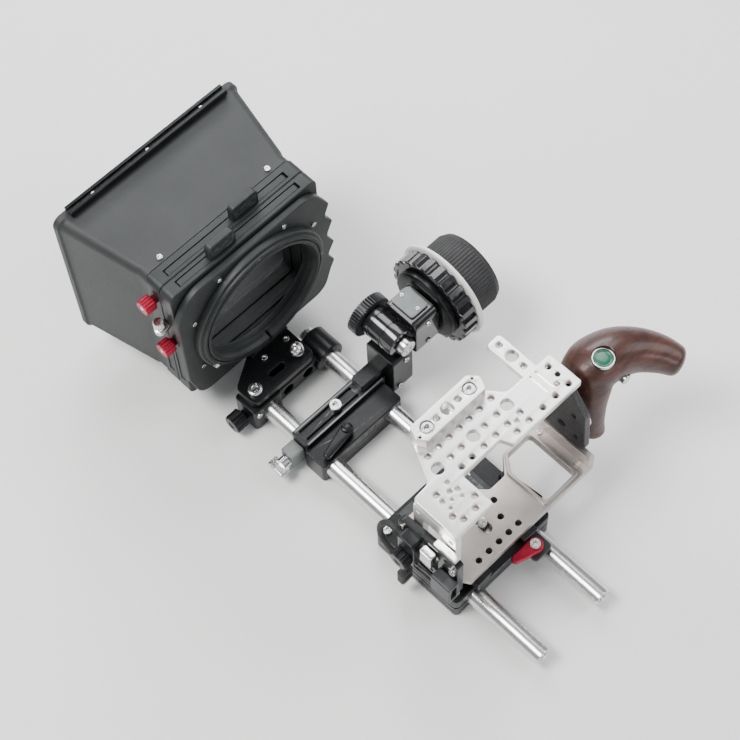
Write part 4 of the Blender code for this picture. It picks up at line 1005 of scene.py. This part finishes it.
def build_cable_clamp():
    low, high = extent("cable_clamp_base")
    face = high.x
    knob_y, knob_z = -4.5, 78.0
    outline = [(low.y, low.z, 3), (high.y, low.z, 3), (high.y, 99, 5), (-20, high.z, 4), (low.y, high.z, 3)]
    holes = [rectangle((-26, 68), (-8, 92), 3.0)]
    holes += [circle(place, 1.6) for place in ((-33, 98), (-14, 97.5), (-20, 62.5), (-2, 62.5))]
    base = Solid().plate("X", face - 6.0, face, rounded(outline), holes, 0.6)
    bridge = Solid().plate("X", low.x, face - 5.0, rectangle((-12, 68), (3, 98), 2.5), edge=0.8)
    bores = Solid().rod((-80, knob_y, knob_z), (-40, knob_y, knob_z), 3.2)
    for z in (86.5, 89.5, 92.5):
        bores.box((low.x - 1, -10, z - 0.5), (low.x + 0.6, 1, z + 0.5))
    piece("clamp_body", base, "black_anodised", "cable_clamp_base", 0.12, bridge, bores)

    low, high = extent("cable_clamp_jaw")
    grooves = Solid()
    for y in (-23.6, -20.5, -17.4):
        grooves.rod((low.x - 0.7, y, 80), (low.x - 0.7, y, 103), 1.1, 32)
    jaw = Solid().slab("Z", "cable_clamp_jaw", 1.4, 0.8)
    piece("clamp_jaw", jaw, "steel", "cable_clamp_jaw", 0.1, cut=grooves)

    low, high = extent("cable_clamp_knob")
    length = high.x - low.x
    profile = [(0, 0), (2.4, 0), (2.6, 0.3), (2.6, 13.2), (7.0, 13.2), (7.6, 13.8, 1), (7.6, length - 1.0, 1)]
    profile += [(6.6, length), (3.2, length), (3.0, length - 0.6), (0, length - 0.6)]
    knob = Solid().turned(crosswise(knob_y, knob_z, high.x, -1), profile, 120, 20, 0.8)
    piece("clamp_knob", knob, "black_anodised", "cable_clamp_knob", 0.1)

    low, high = extent("video_port_block")
    outline = rectangle((low.x, low.z), (high.x, high.z), 1.6)
    mouth = rectangle((low.x + 2.5, 65.5), (high.x - 2.1, 80.5), 0.9)
    port = Solid().plate("Y", -38.0, high.y, outline, edge=0.5)
    port.plate("Y", low.y, -37.5, outline, [mouth], 0.5)
    port.box((low.x + 4.6, -44, 68), (high.x - 4.2, -37.7, 78))
    piece("port_block", port, "dark_grey", "video_port_block")


# ---------------- follow focus

FOCUS_Y, WHEEL_Z = middle("handwheel_ring").yz
SPINDLE_X = middle("drive_gear").x


def build_focus_bracket():
    low, high = extent("focus_bracket")
    jaw_y = middle("focus_clamp_jaw").y
    bolt = (-1, FOCUS_Y + 0.5)
    pivot = (-8, 109)
    bridge = Solid().plate("Z", 3, high.z, rectangle((-38, FOCUS_Y - 8), (high.x, high.y), 2.5), edge=0.7)
    block = Solid().plate("Z", low.z, 23, rectangle((low.x, low.y), (40, FOCUS_Y - 6), 3.0), edge=0.7)
    cutter = rod_bores(low.y - 2, high.y + 2)
    for start in (FOCUS_Y - 5.5, FOCUS_Y + 2.5):
        slot = rectangle((-34, start), (18, start + 3), 1.2)
        cutter.plate("Z", high.z - 2.5, high.z + 1, slot, edge=0.1)
    cutter.rod((*pivot, 12), (*pivot, 24), 2.9).rod((*bolt, 14), (*bolt, 30), 2.4)
    cutter.rod((-39, jaw_y, ROD_Z), (-36.5, jaw_y, ROD_Z), 3.3)
    for x in (-12, 0, 12):
        cutter.box((x - 0.3, low.y - 1, 16), (x + 0.3, low.y + 0.4, 21))
    piece("focus_bridge", bridge, "black_anodised", "focus_bracket", 0.15, block, cutter)
    # Two pale grey strips along the bridge's top: painted highlights standing in for its lit edges.
    lines = Solid()
    for y in (FOCUS_Y - 6.9, FOCUS_Y + 7.1):
        line = rectangle((-36, y - 0.7), (40, y + 0.7), 0.6)
        lines.plate("Z", high.z - 0.3, high.z + 0.12, line, edge=0.05)
    piece("focus_bridge_painted_highlights", lines, "grey_cover", body="focus_base")

    low, high = extent("focus_bridge_bolt")
    seat_z = high.z - 4.6
    screw = Solid().screw((*bolt, seat_z), UP, 4.6, 4.6)
    shank = [(0, low.z), (1.8, low.z), *thread(2.1, low.z + 0.3, high.z - 4.4), (0, high.z - 4.4)]
    screw.turned(upright(*bolt), shank, 32)
    piece("bridge_bolt", screw, "steel", "focus_bridge_bolt")

    low, high = extent("focus_lock_lever")
    lever = Solid().plate("Z", 25.5, 30.5, tapered(pivot, 5.0, (-32, 104), 2.8), edge=1.1)
    profile = [(0, low.z), (2.5, low.z), (2.5, 23.3), (3.9, 23.3)]
    profile += [(3.9, high.z - 0.7), (3.3, high.z), (0, high.z)]
    lever.turned(upright(*pivot), profile, 40)
    piece("lock_lever", lever, "black_anodised", "focus_lock_lever", 0.2)

    block = Solid().slab("X", "focus_clamp_jaw", 2.2, 0.7, [circle((jaw_y, ROD_Z), 3.3)])
    piece("clamp_jaw_block", block, "grey_cover", "focus_clamp_jaw")

    low, high = extent("focus_thumb_screw")
    wing = [(low.y, ROD_Z - 1.6, 1.5), (jaw_y, ROD_Z - 2.2, 6), (high.y, ROD_Z - 1.6, 1.5)]
    wing += [(high.y, ROD_Z + 1.6, 1.5), (jaw_y, ROD_Z + 2.2, 6), (low.y, ROD_Z + 1.6, 1.5)]
    screw = Solid().plate("X", low.x, -54, rounded(wing), edge=0.8)
    profile = [(0, -57), (5.0, -57), (5.0, -50.3), (2.9, -50.3), *thread(2.9, -49.5, high.x)]
    screw.turned(crosswise(jaw_y, ROD_Z), [*profile, (0, high.x)], 48)
    piece("thumb_screw", screw, "steel", "focus_thumb_screw", 0.15)


def build_focus_head():
    low, high = extent("focus_carriage")
    side = rectangle((low.y, low.z), (high.y, high.z), 2.5)
    carriage = Solid().plate("X", 44, high.x, side, edge=0.7)
    outline = rectangle((low.x, FOCUS_Y - 5), (50, FOCUS_Y + 7), 1.5)
    tongue = Solid().plate("Z", 28.3, 36, outline, edge=0.6)
    grooves = Solid()
    for z in (16, 22, 28, 34):
        grooves.box((high.x - 0.5, low.y - 1, z - 0.5), (high.x + 1, high.y + 1, z + 0.5))
    piece("head_carriage", carriage, "black_anodised", "focus_carriage", 0.15, tongue, grooves)
    seats = [(57, low.y + 0.2, 44), (50, low.y + 0.2, 14)]
    screws("carriage_screws", "focus_head", seats, -FORWARD, 2.4, 1.6)

    low, high = extent("focus_gearbox")
    rear, front = FOCUS_Y - 16, FOCUS_Y + 16
    side = rounded([(rear, low.z, 4), (front, low.z, 4), (front, high.z, 6), (rear, high.z, 6)])
    box = Solid().plate("X", 66, high.x, side, edge=0.9)
    profile = [(0, 117), (11.4, 117), (12.3, 117.9), (12.3, 127), (11.7, 127.4), (11.7, 128.6), (12.3, 129)]
    profile += [(12.3, 139), (11.7, 139.4), (11.7, 140.6), (12.3, 141), (12.3, 145.2), (11.5, 146), (0, 146)]
    housing = Solid().turned(lengthwise(SPINDLE_X, WHEEL_Z), profile, 96)
    cutter = Solid().rod((72, FOCUS_Y, WHEEL_Z), (92, FOCUS_Y, WHEEL_Z), 4.6)
    cutter.rod((SPINDLE_X, 110, WHEEL_Z), (SPINDLE_X, 150, WHEEL_Z), 3.6)
    cutter.box((49.4, FOCUS_Y - 9.4, WHEEL_Z - 9), (86, FOCUS_Y + 9.4, WHEEL_Z + 9))
    piece("gear_housing", box, "gloss_black", "focus_gearbox", 0.15, housing, cutter)
    seats = [(78, FOCUS_Y - 15.9, z) for z in (48, 73)]
    screws("housing_screws", "focus_head", seats, -FORWARD, 2.2, 1.4)

    low, high = extent("focus_gearbox_cover")
    cover = Solid().slab("Z", "focus_gearbox_cover", 2.2, 0.5)
    piece("housing_cover", cover, "grey_cover", "focus_gearbox_cover")
    seats = [(77.5, y, high.z - 0.3) for y in (low.y + 3, high.y - 3)]
    screws("cover_screws", "focus_head", seats, UP, 1.5, 0.8)


def build_drive():
    low, high = extent("drive_gear")
    centre = (SPINDLE_X, WHEEL_Z)
    tip = (high.x - low.x) / 2
    holes = [circle(centre, 3.4), *(circle(place, 2.3, 28) for place in circle(centre, 9.2, 6))]
    gear = Solid().plate("Y", low.y, high.y, toothed(centre, tip - 1.9, tip, 44), holes, 0.2)
    piece("lens_gear", gear, "dark_grey", "drive_gear")

    low, high = extent("drive_spindle")
    profile = [(0, high.y), (4.6, high.y), (5.6, 157, 1), (5.6, 155.3, 1), (3.1, 155.3), (3.1, 121.8)]
    profile += [(4.4, 121.8), (7.2, 119.4, 1), (7.2, 118, 1), (3.1, 118), (3.1, 116.6), (6.2, 116.6)]
    profile += [(7.2, 115.6), (7.2, 110.6), (6.2, low.y), (3.0, low.y), (2.6, low.y + 0.8), (0, low.y + 0.8)]
    spindle = Solid().turned(lengthwise(*centre), profile, 96, 16, 0.8)
    piece("gear_spindle", spindle, "steel", "drive_spindle", 0.1)


def build_handwheel():
    place = crosswise(FOCUS_Y, WHEEL_Z)
    low, high = extent("handwheel_hub")
    profile = [(0, high.x), (3.4, high.x), (4.0, high.x - 0.6), (4.0, 95), (29, 95), (29, 91.3), (27, 90.3)]
    profile += [(20, 90.3), (19.5, 91.0), (12, 91.0), (11.5, 90.3), (4.0, 90.3), (4.0, 72.4), (8.6, 72.4)]
    profile += [(8.6, 69.4, 1), (5.6, 65.2, 1), (4.0, 65.2), (4.0, low.x), (0, low.x)]
    hub = Solid().turned(place, profile, 120, 20, 0.9)
    piece("wheel_hub", hub, "black_anodised", "handwheel_hub", 0.2)

    low, high = extent("handwheel_ring")
    outer = (high.y - low.y) / 2
    centre = (FOCUS_Y, WHEEL_Z)
    teeth = toothed(centre, outer - 2.6, outer, 24, 0.42)
    ring = Solid().plate("X", low.x, high.x, teeth, [circle(centre, 4.5)], 0.7)
    profile = [(26.5, low.x - 1), (28.4, low.x + 0.9), (32.6, low.x + 0.9), (33.4, low.x - 1)]
    step = Solid().turned(place, profile, 144, closed=True)
    piece("knurled_ring", ring, "gloss_black", "handwheel_ring", cut=step)

    low, high = extent("marking_disc")
    outer = (high.y - low.y) / 2
    profile = [(4.4, low.x), (outer - 2, low.x), (outer - 0.3, low.x + 0.8), (outer, low.x + 1.4)]
    profile += [(outer - 0.1, high.x - 0.9), (outer - 1.2, high.x - 0.4), (32, high.x), (4.4, high.x)]
    disc = Solid().turned(place, profile, 144, closed=True)
    piece("white_disc", disc, "white_disc", "marking_disc", 0.1)

    low, high = extent("handwheel_knob")
    outer = (high.y - low.y) / 2
    profile = [(4.4, low.x), (outer - 1, low.x), (outer - 0.4, low.x + 1.4), (outer, low.x + 2.2, 1)]
    profile += [(outer, high.x - 6, 1), (outer - 0.6, high.x - 5, 0.4), (outer - 2, high.x - 1.5)]
    profile += [(24, high.x), (14, high.x), (12.8, high.x - 0.8), (10.5, high.x - 1.2), (4.4, high.x - 1.4)]
    knob = Solid().turned(place, profile, 432, 72, 0.6, closed=True)
    piece("focus_knob", knob, "black_rubber", "handwheel_knob")
    screws("knob_cap_screw", "handwheel", [(high.x - 3.2, FOCUS_Y, WHEEL_Z)], RIGHT, 4.0, 2.6)
    back, front = high.x - 1.5, high.x - 0.5
    profile = [(4.6, back), (9.6, back), (9.6, front - 0.4), (9.0, front), (4.6, front)]
    bezel = Solid().turned(place, profile, 96, closed=True)
    piece("knob_bezel", bezel, "gloss_black", edge=0.1, body="handwheel")


# ---------------- matte box

SWING = middle("swing_arm_pin")
LATCH = middle("swing_latch_pin")
OPTICAL_Z = middle("matte_box_lens_ring").z


def build_matte_bracket():
    low, high = extent("matte_box_bracket")
    rod_x = middle("rod_right").x
    bar = Solid().plate("Z", 5, 21, rectangle((-24, 169), (26, 185), 1.0), edge=0.7)
    ends = Solid().plate("Z", low.z, 25, rectangle((low.x, low.y), (-18, high.y), 3.0), edge=0.8)
    profile = [(0, low.y), (12.2, low.y), (13, low.y + 0.8), (13, high.y - 0.8), (12.2, high.y), (0, high.y)]
    ends.turned(lengthwise(rod_x, ROD_Z), profile, 96)
    cutter = rod_bores(low.y - 2, high.y + 2).rod((SWING.x, SWING.y, 20), (SWING.x, SWING.y, 27), 2.9)
    for x in (-10.0, 10.0):
        for start, end in ((180, 186), (168, 174)):
            cutter.rod((x, start, 13), (x, end, 13), 5.0)
    cutter.box((rod_x - 0.8, low.y - 1, -1), (rod_x + 0.8, high.y + 1, 6))
    piece("rod_bracket", bar, "black_anodised", "matte_box_bracket", 0.15, ends, cutter)
    screws("rod_bracket_screws", "matte_base", [(-42, low.y + 0.1, 20)], -FORWARD, 2.2, 1.6)

    low, high = extent("matte_box_clamp_knob")
    length = high.x - low.x
    profile = [(0, 0), (3.8, 0), (4.0, 0.3), (4.0, 2.7), (6.6, 2.7), (7.8, 3.4, 1), (7.8, length - 1, 1)]
    profile += [(6.8, length), (3.0, length), (2.8, length - 0.5), (0, length - 0.5)]
    knob = Solid().turned(crosswise(SWING.y, ROD_Z, high.x, -1), profile, 120, 10, 1.5)
    piece("rod_bracket_knob", knob, "black_anodised", "matte_box_clamp_knob", 0.2)


def build_swing_arm():
    low, high = extent("swing_arm_pin")
    profile = [(0, high.z - 0.9), (2.4, high.z - 0.9), (2.7, high.z), (4.9, high.z), (5.6, high.z - 0.8)]
    profile += [(5.6, 33.3), (2.5, 33.3), (2.5, low.z), (0, low.z)]
    pin = Solid().turned(upright(SWING.x, SWING.y), profile, 56)
    piece("swing_pin", pin, "steel", "swing_arm_pin", 0.12)

    low, high = extent("swing_arm")
    corners = [(low.x, 168, 6), (18, 168, 5), (18, high.y, 0.6), (-18, high.y, 0.6), (low.x, 188, 6)]
    holes = [circle(SWING, 2.9), circle(LATCH, 3.4), rectangle((-18, 176), (-4, 181), 2.4)]
    arm = Solid().plate("Z", low.z, 33, rounded(corners), holes, 0.7)
    face = Solid().plate("Y", 197.5, high.y, rectangle((-18, 30), (18, high.z), 1.0), edge=0.5)
    piece("swing_plate", arm, "black_anodised", "swing_arm", join=face)
    screws("swing_plate_screws", "matte_swing", [(x, 192, 32.9) for x in (-11, 11)], UP, 2.6, 1.8)

    low, high = extent("swing_latch_pin")
    ball = [(0, 0), (1.6, 0.15), (3.4, 0.9), (4.8, 2.4), (5.6, 4.3), (5.8, 6), (5.4, 7.7), (4.4, 9.2)]
    profile = [(radius, high.z - down) for radius, down in (*ball, (3.2, 10.2), (3.0, 10.8))]
    profile += [(3.0, 33.6), (2.3, 33.0), (2.3, low.z), (0, low.z)]
    latch = Solid().turned(upright(LATCH.x, LATCH.y), profile, 64)
    piece("latch_ball", latch, "steel", "swing_latch_pin")


def build_back_plate():
    low, high = extent("matte_box_backplate")
    corners = [(-70, 60, 20), (-62, 30, 14), (62, 30, 14), (70, 52, 6), (74, 60, 3), (68, 72, 8)]
    corners += [(75, 84, 3), (68.5, 98, 9), (75, 112, 3), (68, 124, 8), (73, 136, 4)]
    corners += [(60, 162, 20), (-58, 162, 24), (-70, 138, 20)]
    opening = circle((0.0, OPTICAL_Z), 50.0, 120)
    plate = Solid().plate("Y", low.y, high.y, rounded(corners), [opening], 1.0)
    piece("back_plate", plate, "matte_box_black", "matte_box_backplate")
    turns = [math.radians(turn) for turn in (28, 62, 118, 152, 208, 242, 298, 332)]
    spots = [Vector((math.cos(turn), 0, math.sin(turn))) * 64.0 for turn in turns]
    seats = [spot + Vector((0, low.y + 0.1, OPTICAL_Z)) for spot in spots]
    screws("back_plate_screws", "matte_swing", seats, -FORWARD, 2.0, 1.4)


def build_lens_ring():
    low, high = extent("matte_box_lens_ring")
    outer = (high.x - low.x) / 2
    face = low.y
    profile = [(49, high.y), (outer, high.y), (outer, face + 3.6), (outer - 0.7, face + 2.9)]
    profile += [(57.4, face + 2.9), (57.2, face + 2.6), (57.2, face + 1.0), (56.6, face + 0.5)]
    profile += [(54.6, face + 0.5), (54.4, face + 0.7), (54.4, face + 1.9), (53.6, face + 1.9)]
    profile += [(53.4, face + 0.3), (53.0, face), (51.4, face), (50.6, face + 0.6), (49.6, face + 2.4)]
    for i in range(4):
        depth = face + 3 + i
        profile += [(49.4, depth), (49, depth + 0.3), (49, depth + 0.6), (49.4, depth + 0.9)]
    ring = Solid().turned(lengthwise(0, OPTICAL_Z), profile, 180, closed=True)
    split = Solid().box((-1, face - 1, OPTICAL_Z - outer - 1), (1, high.y - 2, OPTICAL_Z - 45))
    piece("lens_ring", ring, "matte_box_black", "matte_box_lens_ring", 0.2, cut=split)
    turn = math.radians(215)
    spot = Vector((math.cos(turn), 0, math.sin(turn))) * (outer - 1.0)
    seat = spot + Vector((0, 199, OPTICAL_Z))
    clamp = Solid().screw(seat, spot, 2.6, 1.8).rod(seat - spot.normalized() * 1.5, seat, 3.2, 40)
    piece("lens_ring_screw", clamp, "steel", body="matte_swing")


def build_filter_stages():
    low, high = extent("filter_stage_housing")
    passage = rectangle((-50, OPTICAL_Z - 50), (50, OPTICAL_Z + 50), 3.0)
    outline = rectangle((low.x, low.z), (high.x, high.z), 6.0)
    core = rectangle((low.x + 0.9, low.z + 0.9), (high.x - 0.9, high.z - 0.9), 5.4)
    seam = 221.0
    stage = Solid().plate("Y", low.y, seam - 0.4, outline, [passage], 0.7)
    stage.plate("Y", seam + 0.4, high.y, outline, [passage], 0.7)
    stage.plate("Y", low.y + 2, high.y - 2, core, [passage], 0.3)
    trays = [middle(f"filter_tray_{name}").y for name in ("rear", "front")]
    slots = Solid()
    for y in trays:
        slots.box((-56, y - 3, 41), (56, y + 3, high.z + 2))
    for y in trays:
        for side in (-1, 1):
            rim = sorted((side * (high.x - 0.6), side * (high.x + 1)))
            slots.box((rim[0], y - 2.5, 46), (rim[1], y + 2.5, 86))
    piece("stage_housing", stage, "matte_box_black", "filter_stage_housing", 0.15, cut=slots)
    seats = [(high.x - 0.1, y, z) for y in (215, 227) for z in (120, 152)]
    screws("stage_screws_right", "matte_swing", seats, RIGHT, 1.8, 1.2)


def build_trays():
    opening = rectangle((-49, OPTICAL_Z - 49), (49, OPTICAL_Z + 49), 2.5)
    for name, shift, lock_z in (("rear", -16.0, 104.0), ("front", 16.0, 148.0)):
        node = f"filter_tray_{name}"
        low, high = extent(node)
        outline = rectangle((low.x, low.z), (high.x, 165.5), 2.5)
        tray = Solid().plate("Y", low.y, high.y, outline, [opening])
        outline = rectangle((shift - 12, 160), (shift + 12, high.z), 4.0)
        tab = Solid().plate("Y", low.y, high.y, outline, edge=0.6)
        grooves = finger_grooves(low, high, shift, 9, [169 + i * 2 for i in range(5)], 0.5, 0.4)
        piece(f"filter_frame_{name}", tray, "matte_box_black", node, 0.12, tab, grooves)

        y = middle(node).y
        node = f"filter_lock_knob_{name}"
        low, high = extent(node)
        length = high.x - low.x
        profile = [(0, 0), (3.2, 0), (3.4, 0.3), (3.4, 2.6), (5.4, 2.6), (6.1, 3.2, 1)]
        profile += [(6.1, length - 0.9, 1), (5.3, length), (2.6, length)]
        profile += [(2.4, length - 0.5), (0, length - 0.5)]
        knob = Solid().turned(crosswise(y, lock_z, high.x, -1), profile, 128, 16, 0.8)
        piece(f"lock_knob_{name}", knob, "red_anodised", node, 0.12)
        screws(f"lock_knob_screw_{name}", f"lock_{name}", [(low.x + 0.6, y, lock_z)], -RIGHT, 1.9, 0.6)

    low, high = extent("stage_side_screw")
    height = high.z - low.z
    profile = [(0, 0), (3.4, 0), (4, 0.6, 1), (4, 5, 1), (2.6, 5.4), (2.6, 8.2), (4, 8.6, 1)]
    profile += [(4, height - 0.6, 1), (3.4, height), (0, height)]
    place = upright(low.x + 4.0, middle("stage_side_screw").y, low.z)
    screw = Solid().turned(place, profile, 96, 24, 0.35)
    lug = [(low.x + 1.0, low.y, 1.5), (high.x, low.y, 0.6), (high.x, high.y, 0.6), (low.x + 1.0, high.y, 1.5)]
    screw.plate("Z", 124, 127, rounded(lug), edge=0.5)
    piece("side_thumb_screw", screw, "steel", "stage_side_screw")


def build_hood():
    low, high = extent("matte_box_hood")
    root, mouth = low.y, high.y
    wall = 2.6
    root_x, root_low, root_high = 67.5, 30.5, 165.5
    # From the root outside to the mouth and back inside: half width, bottom, top, y, corner radius.
    rings = [
        (root_x, root_low, root_high, root, 7),
        (root_x, root_low, root_high, root + 7.5, 7),
        (68.6, 30.0, 166.0, root + 9.5, 7),
        (high.x - 2.2, low.z + 1.0, high.z - 1.0, mouth - 8, 8),
        (high.x - 1.8, low.z + 0.6, high.z - 0.6, mouth - 6, 8),
        (high.x, low.z, high.z, mouth - 5.2, 8),
        (high.x, low.z, high.z, mouth, 8),
        (high.x - wall, low.z + wall, high.z - wall, mouth, 6),
        (root_x - wall, root_low + wall, root_high - wall, root + 9, 5),
        (56, 42, 154, root + 3.5, 7),
        (56, 42, 154, root, 7),
    ]
    hood = Solid()
    loops = []
    for half, bottom, top, y, radius in rings:
        outline = rectangle((-half, bottom), (half, top), radius)
        loops.append(hood.ring((x, y, z) for x, z in outline))
    hood.skin(loops + loops[:1])
    piece("sun_hood", hood, "hood_black", "matte_box_hood", 0.5)
    seats = [(x, root + 4, high.z - 4.6) for x in (-50, 50)]
    screws("hood_screws", "matte_swing", seats, UP, 2.2, 1.5)
    seats = [(root_x - 0.1, root + 4, z) for z in (60, 136)]
    screws("hood_side_screws", "matte_swing", seats, RIGHT, 2.2, 1.5)

    low, high = extent("flag_rail")
    groove = Solid().box((low.x - 1, 305.5, 173), (high.x + 1, 308.5, high.z + 1.5))
    rail = Solid().slab("X", "flag_rail", 0.8, 0.4)
    piece("hood_rail", rail, "black_anodised", "flag_rail", 0.1, cut=groove)
    screws("hood_rail_screws", "matte_swing", [(x, 307, 172.9) for x in (-50, 0, 50)], UP, 1.3, 0.8)


def build_floor():
    grid = Solid()
    bmesh.ops.create_grid(grid.mesh, x_segments=8, y_segments=8, size=4000)
    floor = mesh_object("studio_floor", grid)
    floor.location.z = -0.0004
    floor.data.materials.append(LOOKS["pale_floor"])


place_camera()
LOOKS = {name: surface(name, *row) for name, row in SURFACES.items()}
LOOKS["dark_wood"] = wood_look()
LOOKS["wrinkle_paint"] = wrinkle_look()
for build in (
    build_cord, build_strain_relief, build_studio, build_floor, build_rods, build_baseplate,
    build_rod_clamp_levers, build_quick_release, build_cage_floor, build_cage_roof, build_top_rail,
    build_front_arm, build_cage_wall, build_grip_bracket, build_grip_wood, build_grip_fittings,
    build_rosettes, build_cable_clamp, build_focus_bracket, build_focus_head, build_drive,
    build_handwheel, build_matte_bracket, build_swing_arm, build_back_plate, build_lens_ring,
    build_filter_stages, build_trays, build_hood,
):
    build()
